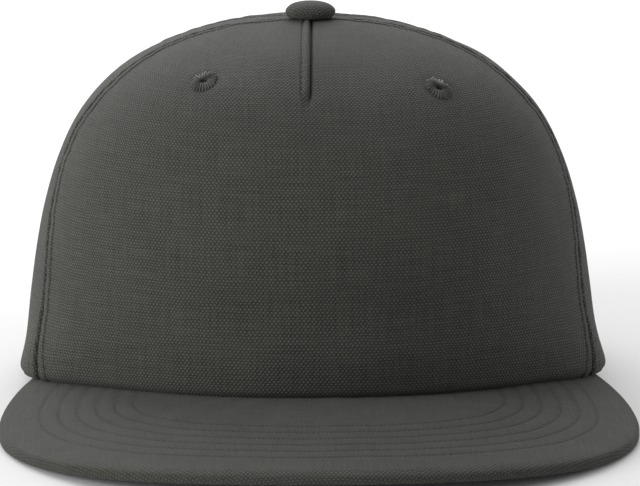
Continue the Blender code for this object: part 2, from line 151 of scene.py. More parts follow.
def between(table: Array, row: Array, column: Array) -> Array:
    """Bilinear value of a table.

    Args:
        table: values on an even grid.
        row: place down the table, 0 to 1.
        column: place across the table, 0 to 1.

    Returns:
        The blend of the four values round each place.
    """
    rows, columns = table.shape
    row = np.clip(row, 0.0, 1.0) * (rows - 1)
    column = np.clip(column, 0.0, 1.0) * (columns - 1)
    row, column = np.broadcast_arrays(row, column)
    low_row = np.minimum(row.astype(int), rows - 2)
    low_column = np.minimum(column.astype(int), columns - 2)
    down = row - low_row
    across = column - low_column
    top = table[low_row, low_column] * (1 - across) + table[low_row, low_column + 1] * across
    bottom = table[low_row + 1, low_column] * (1 - across) + table[low_row + 1, low_column + 1] * across
    return top * (1 - down) + bottom * down


def turns(count: int) -> Array:
    """Even angles once round, in radians."""
    return np.arange(count) * 2 * math.pi / count


def signed_power(value: Array, power: float) -> Array:
    """The size of a value to a power, with the value's own sign."""
    return np.sign(value) * np.abs(value) ** power


def over_table(*grids: Array) -> None:
    """Lift points that are under the table up to it."""
    for points in grids:
        points[..., 2] = np.maximum(points[..., 2], 0.0)


def linked(name: str, data: bpy.types.ID) -> bpy.types.Object:
    """A new object in the scene."""
    made = bpy.data.objects.new(name, data)
    bpy.context.scene.collection.objects.link(made)
    return made


def section_column(name: str) -> Array:
    """One column of the table of sections."""
    return TABLE[:, SECTION_COLUMNS.index(name)]


@dataclass(frozen=True)
class CapShape:
    """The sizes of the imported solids, and the surfaces that follow from them."""

    crown_height: float = 115.0 * MM
    side_reach: float = 91.0 * MM
    front_reach: float = 98.3 * MM
    back_reach: float = 101.0 * MM
    ear_flare: float = 8.0 * MM
    ear_angle: float = 64.0
    ear_spread: float = 15.5
    cloth: float = 1.8 * MM
    ring_radius: float = 2.6 * MM
    peak_length: float = 74.5 * MM
    peak_half_width: float = 97.6 * MM
    peak_thickness: float = 3.5 * MM
    peak_widest: float = 8.0 * MM
    peak_rear_round: float = 110.0 * MM
    peak_ear_angle: float = 110.0
    peak_arch: float = 9.6 * MM
    peak_slope: float = 2.9
    peak_tongue: float = 5.0 * MM
    hem_gap: float = 0.12 * MM
    hem_fall: float = 75.0 * MM
    arch_width: float = 76.0 * MM
    arch_height: float = 46.0 * MM
    way_samples: int = 601
    way_step: float = 0.002
    angle_step: float = 0.2

    @property
    def front_joint(self) -> float:
        """Distance from the button's axis to the front hem."""
        return self.front_reach * section_column("front")[0]

    @property
    def arch_radius(self) -> float:
        """Radius of the back opening's round top."""
        return self.arch_width / 2

    @property
    def arch_foot(self) -> float:
        """Height up to which the back opening's sides are straight."""
        return self.arch_height - self.arch_radius

    @property
    def shift(self) -> float:
        """Y of the button's axis, so that the origin is under the middle of the cap."""
        arch = self.arch_height / self.crown_height
        share = np.interp(arch, section_column("height"), section_column("back"))
        return (self.front_joint + self.peak_length - self.back_reach * share) / 2.0

    def section_at(self, way: Array) -> dict[str, Array]:
        """The section table on a smooth curve (Catmull-Rom) through its rows.

        Args:
            way: way up the crown, 0 at the hem and 1 at the ring.

        Returns:
            Each column's value at each way.
        """
        last = len(TABLE) - 1
        place = np.clip(np.asarray(way, dtype=float), 0.0, 1.0) * last
        row = np.minimum(place.astype(int), last - 1)
        part = (place - row)[..., None]
        start = TABLE[row]
        end = TABLE[row + 1]
        before = np.where((row > 0)[..., None], TABLE[np.maximum(row - 1, 0)], 2 * start - end)
        after = np.where((row < last - 1)[..., None], TABLE[np.minimum(row + 2, last)], 2 * end - start)
        values = 0.5 * (
            2 * start
            + (end - before) * part
            + (2 * before - 5 * start + 4 * end - after) * part**2
            + (3 * start - before - 3 * end + after) * part**3
        )
        return dict(zip(SECTION_COLUMNS, np.moveaxis(values, -1, 0)))

    def way_at_height(self, share: Array) -> Array:
        """The way up the crown where the height column has a share."""
        ways = np.linspace(0.0, 1.0, self.way_samples)
        return np.interp(share, self.section_at(ways)["height"], ways)

    def plan(self, angle: Array, section: dict[str, Array]) -> tuple[Array, Array]:
        """Plan of the crown: a superellipse round the button's axis, pushed out at the ears by a bell.

        Args:
            angle: angle round the head, in degrees.
            section: the section's values there.

        Returns:
            X and Y of the crown's outside.
        """
        turn = np.radians(angle)
        across = np.abs(np.sin(turn))
        along = np.abs(np.cos(turn))
        ring = self.ring_radius
        side = ring + (self.side_reach - ring) * section["side"]
        front = ring + (self.front_reach - ring) * section["front"]
        back = ring + (self.back_reach - ring) * section["back"]
        reach = np.where(np.cos(turn) > 0, front, back)
        square = section["square"]
        radius = ((across / side) ** square + (along / reach) ** square) ** (-1.0 / square)
        ear = bell(np.abs(angle), self.ear_angle, self.ear_spread)
        radius = radius + self.ear_flare * section["ear"] * ear
        return radius * np.sin(turn), self.shift - radius * np.cos(turn)

    def peak_outline(self, angle: Array) -> tuple[Array, Array]:
        """Plan of the peak's outer edge: one half-ellipse in front of its widest line, one behind."""
        turn = np.radians(angle)
        widest = self.shift - self.front_joint + self.peak_widest
        reach = np.where(np.cos(turn) > 0, self.peak_length + self.peak_widest, self.peak_rear_round)
        return self.peak_half_width * np.sin(turn), widest - reach * np.cos(turn)

    def peak_fall(self, x: Array, y: Array) -> Array:
        """Drop of the peak's top: a parabola across it and an even slope forward."""
        forward = self.shift - self.front_joint - y
        slope = math.tan(math.radians(self.peak_slope))
        return self.peak_arch * (x / self.peak_half_width) ** 2 + slope * forward

    def peak_top(self, x: Array, y: Array) -> Array:
        """Height of the peak's top over a plan point."""
        edge = self.peak_outline(np.linspace(-self.peak_ear_angle, self.peak_ear_angle, 221))
        return self.peak_thickness + self.peak_fall(*edge).max() - self.peak_fall(x, y)

    def hem_over(self, x: Array, y: Array) -> Array:
        """Height of the hem: just over the peak in front, falling by a smooth step to the table behind."""
        ear = self.peak_outline(self.peak_ear_angle)[1] + self.peak_tongue
        on_peak = self.peak_top(x, np.minimum(y, ear)) + self.hem_gap
        return on_peak * (1.0 - smooth(0.0, self.hem_fall, y - ear))

    def point(self, angle: Array, way: Array) -> Array:
        """A point on the crown's outside."""
        angle, way = np.broadcast_arrays(np.asarray(angle, dtype=float), np.asarray(way, dtype=float))
        section = self.section_at(way)
        x, y = self.plan(angle, section)
        hem = self.hem_over(*self.plan(angle, self.section_at(np.zeros_like(angle))))
        return np.stack([x, y, hem + (self.crown_height - hem) * section["height"]], axis=-1)

    def normal(self, angle: Array, way: Array) -> Array:
        """Outward normal of the crown: the cross product of short steps round it and up it."""
        way, angle = np.asarray(way), np.asarray(angle)
        low = np.maximum(way - self.way_step, 0.0)
        high = np.minimum(way + self.way_step, 1.0)
        around = self.point(angle + self.angle_step, way) - self.point(angle - self.angle_step, way)
        return unit(np.cross(around, self.point(angle, high) - self.point(angle, low)))


class PanelMap:
    """Places on one panel, by the way up the crown and the share of the panel's width there."""

    WAYS = 181
    SHARES = 161

    def __init__(self, shape: CapShape, low: Array, high: Array) -> None:
        """Work out the panel's widths and angles.

        Args:
            shape: the cap's surfaces.
            low: the angle of one seam at each of WAYS even ways up the crown.
            high: the angle of the other seam there, further round the head.
        """
        self.ways = ways = np.linspace(0.0, 1.0, self.WAYS)
        shares = np.linspace(0.0, 1.0, self.SHARES)
        angles = low[:, None] + (high - low)[:, None] * shares
        run = running_length(shape.point(angles, ways[:, None]))
        self.widths = run[:, -1]
        self.angles = np.stack([np.interp(shares * line[-1], line, row) for line, row in zip(run, angles)])
        middle = shape.point(between(self.angles, ways, 0.5), ways)
        self.rises = running_length(middle)

    def width(self, way: Array) -> Array:
        """The panel's width along the cloth."""
        return np.interp(way, self.ways, self.widths)

    def rise(self, way: Array) -> Array:
        """Distance up the panel's middle line from the hem."""
        return np.interp(way, self.ways, self.rises)

    def way_at(self, rise: Array) -> Array:
        """The way up the crown at a distance up the middle line."""
        return np.interp(rise, self.rises, self.ways)

    def angle(self, way: Array, share: Array) -> Array:
        """The angle round the head at a share of the width."""
        return between(self.angles, way, share)


@dataclass(frozen=True)
class Seam:
    """Relief across a topstitched seam: the edge turns in, a strip stands up, a row pulls down.

    strip_start and strip_end say where the strip rises, from the seam, and where it falls, from the
    stitch row.
    """

    tuck: float = 1.6 * MM
    tuck_width: float = 0.8 * MM
    strip: float = 0.32 * MM
    strip_start: tuple[float, float] = (0.3 * MM, 1.6 * MM)
    strip_end: tuple[float, float] = (-0.2 * MM, 1.3 * MM)
    strip_uneven: float = 0.25
    stitch: float = 5.0 * MM
    groove: float = 0.42 * MM
    groove_width: float = 0.42 * MM
    shade_width: float = 0.5 * MM
    row_shade: float = 0.35
    pucker: float = 0.10 * MM
    pucker_reach: float = 7.0 * MM
    puckers: Triple = (5.3 * MM, 8.1 * MM, 12.7 * MM)
    least_scale: float = 0.05

    def relief(self, off: Array, scale: Array, along: Array, phase: float) -> Array:
        """Height of the cloth beside the seam.

        Args:
            off: distance from the seam.
            scale: how much the sewing is narrowed where the panel is narrow, 0 to 1.
            along: distance along the seam.
            phase: turn of this seam's puckers.

        Returns:
            Height over the plain surface.
        """
        place = off / np.maximum(scale, self.least_scale)
        fall = smooth(*(self.stitch + end for end in self.strip_end), place)
        strip = smooth(*self.strip_start, place) * (1.0 - fall)
        uneven = ripple(along, self.puckers, phase)
        height = self.strip * strip * (1.0 + self.strip_uneven * uneven)
        height = height - self.tuck * bell(place, 0.0, self.tuck_width)
        height = height - self.groove * bell(place, self.stitch, self.groove_width)
        height = height + self.pucker * uneven * bell(place, self.stitch, self.pucker_reach)
        return height * scale

    def painted_shade(self, off: Array, scale: Array) -> Array:
        """Painted shade, from 0 to 1: full in the seam's fold, less in the stitch row's groove."""
        place = off / np.maximum(scale, self.least_scale)
        row = bell(place, self.stitch, self.groove_width)
        return bell(place, 0.0, self.shade_width) + self.row_shade * row


@dataclass(frozen=True)
class Dart:
    """Relief of the sewn tuck in the front panel: a raised strip left of a deep seam line.

    fade and shade_fade are the shares of the length over which relief and shade end. strip_edge is
    where the strip rises, from its stitch row. The cloth is pinched at the dart's end: a dent of
    pinch_width, and a swell of swell_width on both sides.
    """

    length: float = 67.0 * MM
    fade: tuple[float, float] = (0.93, 1.02)
    shade_fade: tuple[float, float] = (0.97, 1.03)
    aside: float = 2.2 * MM
    strip: float = 0.5 * MM
    strip_width: float = 2.5 * MM
    strip_edge: tuple[float, float] = (-0.7 * MM, 0.5 * MM)
    strip_uneven: float = 0.2
    puckers: Triple = (4.1 * MM, 7.3 * MM, 11.9 * MM)
    tuck: float = 1.5 * MM
    tuck_middle: float = 0.12 * MM
    tuck_width: float = 0.42 * MM
    tuck_shade_width: float = 0.5 * MM
    groove: float = 0.55 * MM
    groove_width: float = 0.38 * MM
    row_shade: float = 0.5
    row_shade_width: float = 0.4 * MM
    right_step: float = 0.22 * MM
    right_reach: float = 3.5 * MM
    pinch: float = 0.5 * MM
    pinch_below: float = 0.6 * MM
    pinch_height: float = 3.2 * MM
    pinch_left: float = 0.6 * MM
    pinch_width: float = 1.3 * MM
    swell: float = 0.45
    swell_aside: float = 3.6 * MM
    swell_width: float = 1.7 * MM

    def fading(self, shares: tuple[float, float], down: Array) -> Array:
        """1 along the dart, and 0 past its end."""
        return 1.0 - smooth(*(share * self.length for share in shares), down)

    def relief(self, across: Array, down: Array) -> Array:
        """Height of the cloth near the dart.

        Args:
            across: distance to the right of the dart's seam, minus to its left.
            down: distance down from the ring.

        Returns:
            Height over the plain surface.
        """
        uneven = ripple(down, self.puckers, 0.7)
        rise = smooth(*(end - self.strip_width for end in self.strip_edge), across)
        strip = np.where(across < 0.0, rise, 0.0) * self.strip * (1.0 + self.strip_uneven * uneven)
        groove = self.groove * bell(across, -self.strip_width, self.groove_width)
        tuck = self.tuck * bell(across, self.tuck_middle, self.tuck_width)
        step = np.where(across > 0.0, np.exp(-np.abs(across) / self.right_reach), 0.0) * self.right_step
        swell = self.swell * bell(np.abs(across), self.swell_aside, self.swell_width)
        pinch = bell(across, -self.pinch_left, self.pinch_width) - swell
        pinch = pinch * bell(down, self.length + self.pinch_below, self.pinch_height)
        return (strip - groove - tuck - step) * self.fading(self.fade, down) - self.pinch * pinch

    def painted_shade(self, across: Array, down: Array) -> Array:
        """Painted shade in the dart's tuck and in its stitch row's groove, from 0 to 1."""
        tuck = bell(across, self.tuck_middle, self.tuck_shade_width)
        row = self.row_shade * bell(across, -self.strip_width, self.row_shade_width)
        return self.fading(self.shade_fade, down) * (tuck + row)


class Side(Enum):
    """Which half of the cap a mirrored piece is on, as a sign of X."""

    LEFT = -1
    RIGHT = 1


class MeshMaker:
    """Turns grids of points into meshes and objects."""

    @staticmethod
    def grid_faces(rows: int, columns: int, closed: bool = False) -> Array:
        """Corner numbers of a grid's quads, anticlockwise where columns go right and rows go up.

        Args:
            rows: rows of points.
            columns: points in a row.
            closed: whether the last column joins the first.

        Returns:
            One row of four corner numbers for each quad.
        """
        index = np.arange(rows * columns).reshape(rows, columns)
        if closed:
            index = np.concatenate([index, index[:, :1]], axis=1)
        corners = (index[:-1, :-1], index[:-1, 1:], index[1:, 1:], index[1:, :-1])
        return np.stack(corners, axis=-1).reshape(-1, 4)

    @staticmethod
    def rim_faces(faces: Array, count: int) -> Array:
        """Quads that join each open edge of a surface to the same edge of a copy behind it.

        Args:
            faces: the surface's quads.
            count: points in the surface; the copy's numbers start there.

        Returns:
            One quad for each edge that only one face has.
        """
        start = faces.reshape(-1)
        end = np.roll(faces, -1, axis=1).reshape(-1)
        total = 2 * count
        alone = ~np.isin(start * total + end, end * total + start)
        start = start[alone]
        end = end[alone]
        return np.stack([end, start, start + count, end + count], axis=-1)

    @classmethod
    def shell(
        cls,
        name: str,
        outer: Array,
        inner: Array,
        uv: Array,
        gone: Array | None = None,
        painted_shade: Array | None = None,
    ) -> bpy.types.Object:
        """A closed cloth wall between two grids of the same size.

        Args:
            name: the object's name.
            outer: outer points, rows by columns.
            inner: inner points behind them.
            uv: the cloth's own coordinates in metres, for both.
            gone: for each quad, whether it is left out, as in an eyelet's hole.
            painted_shade: for each outer point, how much painted shade it gets.

        Returns:
            The object.
        """
        rows, columns = outer.shape[:2]
        painted_shade = np.zeros((rows, columns)) if painted_shade is None else painted_shade
        faces = cls.grid_faces(rows, columns)
        if gone is not None:
            faces = faces[~gone.reshape(-1)]
        count = rows * columns
        joined = np.concatenate([faces, faces[:, ::-1] + count, cls.rim_faces(faces, count)])
        points = np.concatenate([outer.reshape(-1, 3), inner.reshape(-1, 3)])
        both = np.concatenate([uv.reshape(-1, 2), uv.reshape(-1, 2)])
        folds = np.concatenate([painted_shade.reshape(-1), np.zeros(count)])
        used = np.unique(joined)
        number = np.zeros(2 * count, dtype=int)
        number[used] = np.arange(len(used))
        return cls.thing(name, points[used], number[joined], both[used], folds[used])

    @staticmethod
    def thing(
        name: str, points: Array, faces: Array | list, uv: Array | None = None, painted_shade: Array | None = None
    ) -> bpy.types.Object:
        """An object at the origin with its place in its mesh.

        Args:
            name: the object's name.
            points: each point, in a list or a grid.
            faces: corner numbers of each face.
            uv: for each point, its place on the cloth in metres.
            painted_shade: for each point, how much painted shade it gets.

        Returns:
            The object, smooth shaded, linked into the scene.
        """
        mesh = bpy.data.meshes.new(name)
        faces = faces.tolist() if isinstance(faces, np.ndarray) else faces
        mesh.from_pydata(points.reshape(-1, 3).tolist(), [], faces)
        mesh.shade_smooth()
        if uv is not None:
            corner = np.empty(len(mesh.loops), dtype=np.int32)
            mesh.loops.foreach_get("vertex_index", corner)
            places = uv.reshape(-1, 2)[corner].astype(np.float32)
            mesh.uv_layers.new(name=CLOTH_UV).data.foreach_set("uv", places.reshape(-1))
        if painted_shade is not None:
            values = mesh.attributes.new(PAINTED_SHADE_ATTRIBUTE, "FLOAT", "POINT").data
            values.foreach_set("value", painted_shade.reshape(-1).astype(np.float32))
        return linked(name, mesh)

    @staticmethod
    def with_poles(grid: Array) -> Array:
        """A grid's values in a list, with one value each for its first and its last row."""
        return np.concatenate([grid[0, :1], grid[1:-1].reshape(-1, grid.shape[-1]), grid[-1, :1]])


class Nodes:
    """Short calls that build a node tree from left to right."""

    def __init__(self, name: str) -> None:
        """Start a material with a Principled shader."""
        self.material = bpy.data.materials.new(name)
        self.material.use_nodes = True
        self.tree = self.material.node_tree
        self.shader = self.tree.nodes["Principled BSDF"]

    def link(self, socket: Socket, value: object) -> None:
        """Give an input a value, or join another node's output to it."""
        if isinstance(value, Socket):
            self.tree.links.new(value, socket)
        else:
            socket.default_value = value

    def add(
        self, kind: str, inputs: dict[str | int, object] | None = None, **settings: object
    ) -> bpy.types.Node:
        """A node.

        Args:
            kind: the node's type in Blender.
            inputs: for each input's name or number, a value or another node's output.
            settings: the node's own settings.

        Returns:
            The node.
        """
        node = self.tree.nodes.new(kind)
        for key, value in settings.items():
            setattr(node, key, value)
        for key, value in (inputs or {}).items():
            self.link(node.inputs[key], value)
        return node

    def maths(self, operation: str, first: object, second: object = 0.0) -> Socket:
        """The result of a Math node of one or two values."""
        return self.add("ShaderNodeMath", {0: first, 1: second}, operation=operation).outputs[0]

    def plus(self, first: object, second: object) -> Socket:
        """The sum of two values."""
        return self.maths("ADD", first, second)

    def minus(self, first: object, second: object) -> Socket:
        """The first value less the second."""
        return self.maths("SUBTRACT", first, second)

    def times(self, first: object, second: object) -> Socket:
        """The product of two values."""
        return self.maths("MULTIPLY", first, second)

    def cloth_place(self, across: float, up: float) -> Socket:
        """The cloth's own coordinates in metres, times a scale each way."""
        uv = self.add("ShaderNodeUVMap", uv_map=CLOTH_UV).outputs["UV"]
        return self.add("ShaderNodeMapping", {"Vector": uv, "Scale": (across, up, 1.0)}).outputs["Vector"]

    def cloth_parts(self, across: float, up: float) -> tuple[Socket, Socket]:
        """The two scaled coordinates apart."""
        split = self.add("ShaderNodeSeparateXYZ", {0: self.cloth_place(across, up)})
        return split.outputs["X"], split.outputs["Y"]

    def noise(self, across: float, up: float, detail: float = 2.0) -> Socket:
        """Smooth noise from 0 to 1, with so many waves in a metre across and up the cloth."""
        inputs = {"Vector": self.cloth_place(across, up), "Scale": 1.0, "Detail": detail, "Roughness": 0.5}
        return self.add("ShaderNodeTexNoise", inputs, noise_dimensions="3D").outputs["Fac"]

    def ribs(self, pitch: float) -> Socket:
        """Slanting ribs from 0 to 1: the absolute sine of pi times the sum of both coordinates."""
        slant = self.plus(*self.cloth_parts(1.0 / pitch, 1.0 / pitch))
        return self.maths("ABSOLUTE", self.maths("SINE", self.times(slant, math.pi)))

    def shade(self, colour: Triple, amount: Socket) -> Socket:
        """A colour times an amount of light, for the base colour."""
        scaled = self.add("ShaderNodeVectorMath", {0: colour}, operation="SCALE")
        self.link(scaled.inputs["Scale"], amount)
        return scaled.outputs["Vector"]

    def relief(self, height: Socket, depth: float, strength: float = 1.0) -> Socket:
        """A normal bent by a height from 0 to 1, times a depth in metres."""
        inputs = {"Height": height, "Distance": depth, "Strength": strength}
        return self.add("ShaderNodeBump", inputs).outputs[0]

    def set(self, **values: object) -> bpy.types.Material:
        """Set the shader's inputs, with underscores for the spaces in their names."""
        for key, value in values.items():
            self.link(self.shader.inputs[key.replace("_", " ")], value)
        return self.material


@dataclass(frozen=True)
class Canvas:
    """Plain woven canvas: rows of round knots, each row shifted by half a knot, of uneven yarn.

    wander bends the rows of knots, uneven varies the yarns, mottle is the most that a patch is paler
    or darker, as a share, contrast sets the painted highlight on the raised knots and the yarns' own
    uneven tone, and folded is the share of the colour that painted shade takes away in a full fold.
    The fields ending in waves say how many waves a metre has.
    """

    name: str
    colour: Triple
    across: float = 0.645 * MM
    up: float = 0.85 * MM
    depth: float = 0.22 * MM
    contrast: float = 1.15
    middle: float = 0.4
    wander: float = 0.9
    wander_waves: float = 190.0
    uneven: float = 0.6
    yarn_waves: float = 60.0
    fuzz: float = 0.3
    fuzz_waves: float = 3200.0
    mottle: float = 0.12
    patch_waves: tuple[float, float] = (38.0, 52.0)
    folded: float = 0.92
    darkest: float = 0.1
    sheen: float = 0.08

    def height(self, nodes: Nodes) -> Socket:
        """The weave's height: knots of cos(pi v)(cos(pi u) + cos(pi v)) / 2, uneven yarns and fuzz."""
        wander = nodes.times(nodes.noise(self.wander_waves, self.wander_waves, 1.0), self.wander)
        parts = nodes.cloth_parts(1.0 / self.across, 1.0 / self.up)
        bent = (nodes.plus(part, wander) for part in parts)
        cos_u, cos_v = (nodes.maths("COSINE", nodes.times(part, math.pi)) for part in bent)
        knots = nodes.times(nodes.times(nodes.plus(cos_u, cos_v), cos_v), 0.5)
        warp = nodes.noise(1.0 / self.across, self.yarn_waves)
        weft = nodes.noise(self.yarn_waves, 1.0 / self.up)
        slub = nodes.minus(nodes.plus(warp, weft), 1.0)
        fuzz = nodes.noise(self.fuzz_waves, self.fuzz_waves, 1.0)
        return nodes.plus(nodes.plus(knots, nodes.times(slub, self.uneven)), nodes.times(fuzz, self.fuzz))

    def build(self) -> bpy.types.Material:
        """The material: the colour follows the weave's height, as painted highlight on the raised knots,
        and patches; painted shade darkens it in folds, where the weave fades.
        """
        nodes = Nodes(self.name)
        height = self.height(nodes)
        patches = nodes.noise(*self.patch_waves, 3.0)
        tone = nodes.times(nodes.minus(patches, 0.5), 2.0 * self.mottle)
        # Painted shade in folds, seams, stitch grooves and on the peak's edge: it darkens the colour and
        # calms the weave.
        painted_shade = nodes.add("ShaderNodeAttribute", attribute_name=PAINTED_SHADE_ATTRIBUTE).outputs["Fac"]
        fold = nodes.maths("MINIMUM", painted_shade, 1.0)
        calm = nodes.minus(1.0, fold)
        # Painted highlight on the raised knots and painted shade between them, with the yarns' own uneven
        # tone and fuzz.
        woven = nodes.times(nodes.times(nodes.minus(height, self.middle), self.contrast), calm)
        lit = nodes.minus(1.0, nodes.times(fold, self.folded))
        amount = nodes.times(nodes.plus(nodes.plus(tone, woven), 1.0), lit)
        return nodes.set(
            Base_Color=nodes.shade(self.colour, nodes.maths("MAXIMUM", amount, self.darkest)),
            Roughness=0.92,
            Specular_IOR_Level=0.25,
            Sheen_Weight=self.sheen,
            Sheen_Roughness=0.5,
            Normal=nodes.relief(nodes.times(height, calm), self.depth),
        )


@dataclass(frozen=True)
class SewingThread:
    """Twisted sewing thread with a soft gloss."""

    name: str
    colour: Triple
    twist: float = 0.45 * MM
    depth: float = 0.06 * MM

    def build(self) -> bpy.types.Material:
        """The material: slanting ridges along and round the thread, with painted highlight on their tops."""
        nodes = Nodes(self.name)
        ridge = nodes.ribs(self.twist)
        return nodes.set(
            # Painted highlight on the ridges' tops.
            Base_Color=nodes.shade(self.colour, nodes.plus(nodes.times(ridge, 0.4), 0.75)),
            Roughness=0.6,
            Specular_IOR_Level=0.4,
            Sheen_Weight=0.15,
            Normal=nodes.relief(ridge, self.depth, 0.7),
        )


@dataclass(frozen=True)
class Twill:
    """Fine twill of the sweatband: slanting ribs."""

    name: str
    colour: Triple
    rib: float = 0.7 * MM
    depth: float = 0.08 * MM
    fuzz_waves: float = 900.0

    def build(self) -> bpy.types.Material:
        """The material: ribs with some fuzz, with painted highlight on the ribs' tops."""
        nodes = Nodes(self.name)
        fuzz = nodes.noise(self.fuzz_waves, self.fuzz_waves)
        height = nodes.plus(nodes.ribs(self.rib), nodes.times(fuzz, 0.5))
        return nodes.set(
            # Painted highlight on the ribs' tops, with the fuzz's own uneven tone.
            Base_Color=nodes.shade(self.colour, nodes.plus(nodes.times(height, 0.3), 0.7)),
            Roughness=0.93,
            Specular_IOR_Level=0.2,
            Sheen_Weight=0.1,
            Normal=nodes.relief(height, self.depth, 0.8),
        )


@dataclass(frozen=True)
class MouldedPlastic:
    """Matt moulded plastic with a fine grain and a few scuffs."""

    name: str
    colour: Triple
    depth: float = 0.05 * MM
    grain_waves: float = 1800.0
    scuff_waves: tuple[float, float] = (60.0, 700.0)

    def build(self) -> bpy.types.Material:
        """The material: noise for the grain, stretched noise for scuffs along the strap."""
        nodes = Nodes(self.name)
        grain = nodes.noise(self.grain_waves, self.grain_waves, 1.0)
        scuffs = nodes.noise(*self.scuff_waves, 3.0)
        return nodes.set(
            Base_Color=nodes.shade(self.colour, nodes.plus(nodes.times(scuffs, 0.3), 0.85)),
            Roughness=nodes.plus(nodes.times(scuffs, 0.25), 0.35),
            Specular_IOR_Level=0.5,
            Normal=nodes.relief(grain, self.depth, 0.5),
        )


def built(finish: Canvas | SewingThread | Twill | MouldedPlastic) -> bpy.types.Material:
    """A dataclass field whose material is built when the finishes are."""
    return field(default_factory=finish.build)


@dataclass
class Finishes:
    """The five finishes of the cap, built once."""

    canvas: bpy.types.Material = built(Canvas("charcoal_canvas", (0.0481, 0.0486, 0.0425)))
    # The crown's canvas painted about a tenth lighter, as painted light for the light that falls on the
    # peak's top.
    peak_canvas: bpy.types.Material = built(
        Canvas("peak_charcoal_canvas_painted_lighter", (0.0527, 0.0533, 0.0468), depth=0.16 * MM)
    )
    thread: bpy.types.Material = built(SewingThread("charcoal_thread", (0.041, 0.0415, 0.0375)))
    band: bpy.types.Material = built(Twill("sweatband_twill", (0.038, 0.038, 0.036)))
    plastic: bpy.types.Material = built(MouldedPlastic("strap_plastic", (0.026, 0.026, 0.025)))


def dress(made: bpy.types.Object, material: bpy.types.Material, slot: str, *nodes: str) -> bpy.types.Object:
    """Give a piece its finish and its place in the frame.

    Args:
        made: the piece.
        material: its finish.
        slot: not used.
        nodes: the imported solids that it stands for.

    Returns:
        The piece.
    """
    made.data.materials.append(material)
    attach(made, "root")
    if nodes:
        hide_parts(*nodes)
    triangles = sum(len(face.vertices) - 2 for face in made.data.polygons)
    log.info("%s: %d triangles", made.name, triangles)
    return made


@dataclass(frozen=True)
class Stitching:
    """A row of machine stitches: short bowed lengths of thread that dip into the cloth at both ends."""

    pitch: float = 3.2 * MM
    length: float = 2.5 * MM
    width: float = 0.5 * MM
    rise: float = 0.26 * MM
    sink: float = 0.2 * MM
    bulge: float = 0.6
    end_width: float = 0.35
    margin: float = 0.6
    around: int = 6
    steps: int = 5

    def points(self, path: Array, normal: Array) -> tuple[Array, Array]:
        """Points of all stitches on one path.

        A stitch follows the path for its length. Its middle line lies bulge times rise times the root
        of 1 - s^2, less sink, over the cloth, with s from -1 to 1 along it. Its section is an ellipse
        that narrows to both ends.

        Args:
            path: points along the cloth.
            normal: the cloth's outward normal at each.

        Returns:
            Points by stitch, step and turn, and their UV in metres.
        """
        run = running_length(path)
        margin = self.margin * self.pitch
        centres = np.arange(margin, run[-1] - margin, self.pitch)
        share = np.linspace(-1.0, 1.0, self.steps)
        place = centres[:, None] + share[None, :] * self.length / 2
        line = np.stack([np.interp(place, run, path[:, i]) for i in range(3)], axis=-1)
        up = unit(np.stack([np.interp(place, run, normal[:, i]) for i in range(3)], axis=-1))
        ahead = unit(np.gradient(line, axis=1))
        aside = unit(np.cross(ahead, up))
        bow = np.sqrt(1.0 - share**2)
        turn = turns(self.around)
        slim = self.end_width + (1.0 - self.end_width) * bow
        out = (self.width / 2 * slim)[:, None] * np.cos(turn)
        lift = (0.5 * self.rise * slim)[:, None] * np.sin(turn)
        lift = lift + (self.bulge * self.rise * bow - self.sink)[:, None]
        points = line[:, :, None, :] + out[..., None] * aside[:, :, None, :]
        points = points + lift[..., None] * up[:, :, None, :]
        along = np.broadcast_to(place[:, :, None], points.shape[:3])
        round_it = np.broadcast_to(turn * self.width / 2, points.shape[:3])
        return points, np.stack([along, round_it], axis=-1)

    def build(self, name: str, paths: Paths) -> bpy.types.Object:
        """One object of all the stitches on several paths.

        Args:
            name: the object's name.
            paths: points and normals of each path.

        Returns:
            The object.
        """
        parts = [self.points(path, normal) for path, normal in paths]
        points = np.concatenate([part[0] for part in parts])
        uv = np.concatenate([part[1] for part in parts])
        side = MeshMaker.grid_faces(self.steps, self.around, closed=True)
        each = self.steps * self.around
        first = np.arange(len(points))[:, None, None] * each
        quads = (side[None, :, ::-1] + first).reshape(-1, 4)
        ring = np.arange(self.around)
        ends = np.concatenate([ring, ring[::-1] + each - self.around]).reshape(2, self.around)
        caps = (ends[None] + first).reshape(-1, self.around)
        faces = quads.tolist() + caps.tolist()
        return MeshMaker.thing(name, points, faces, uv)


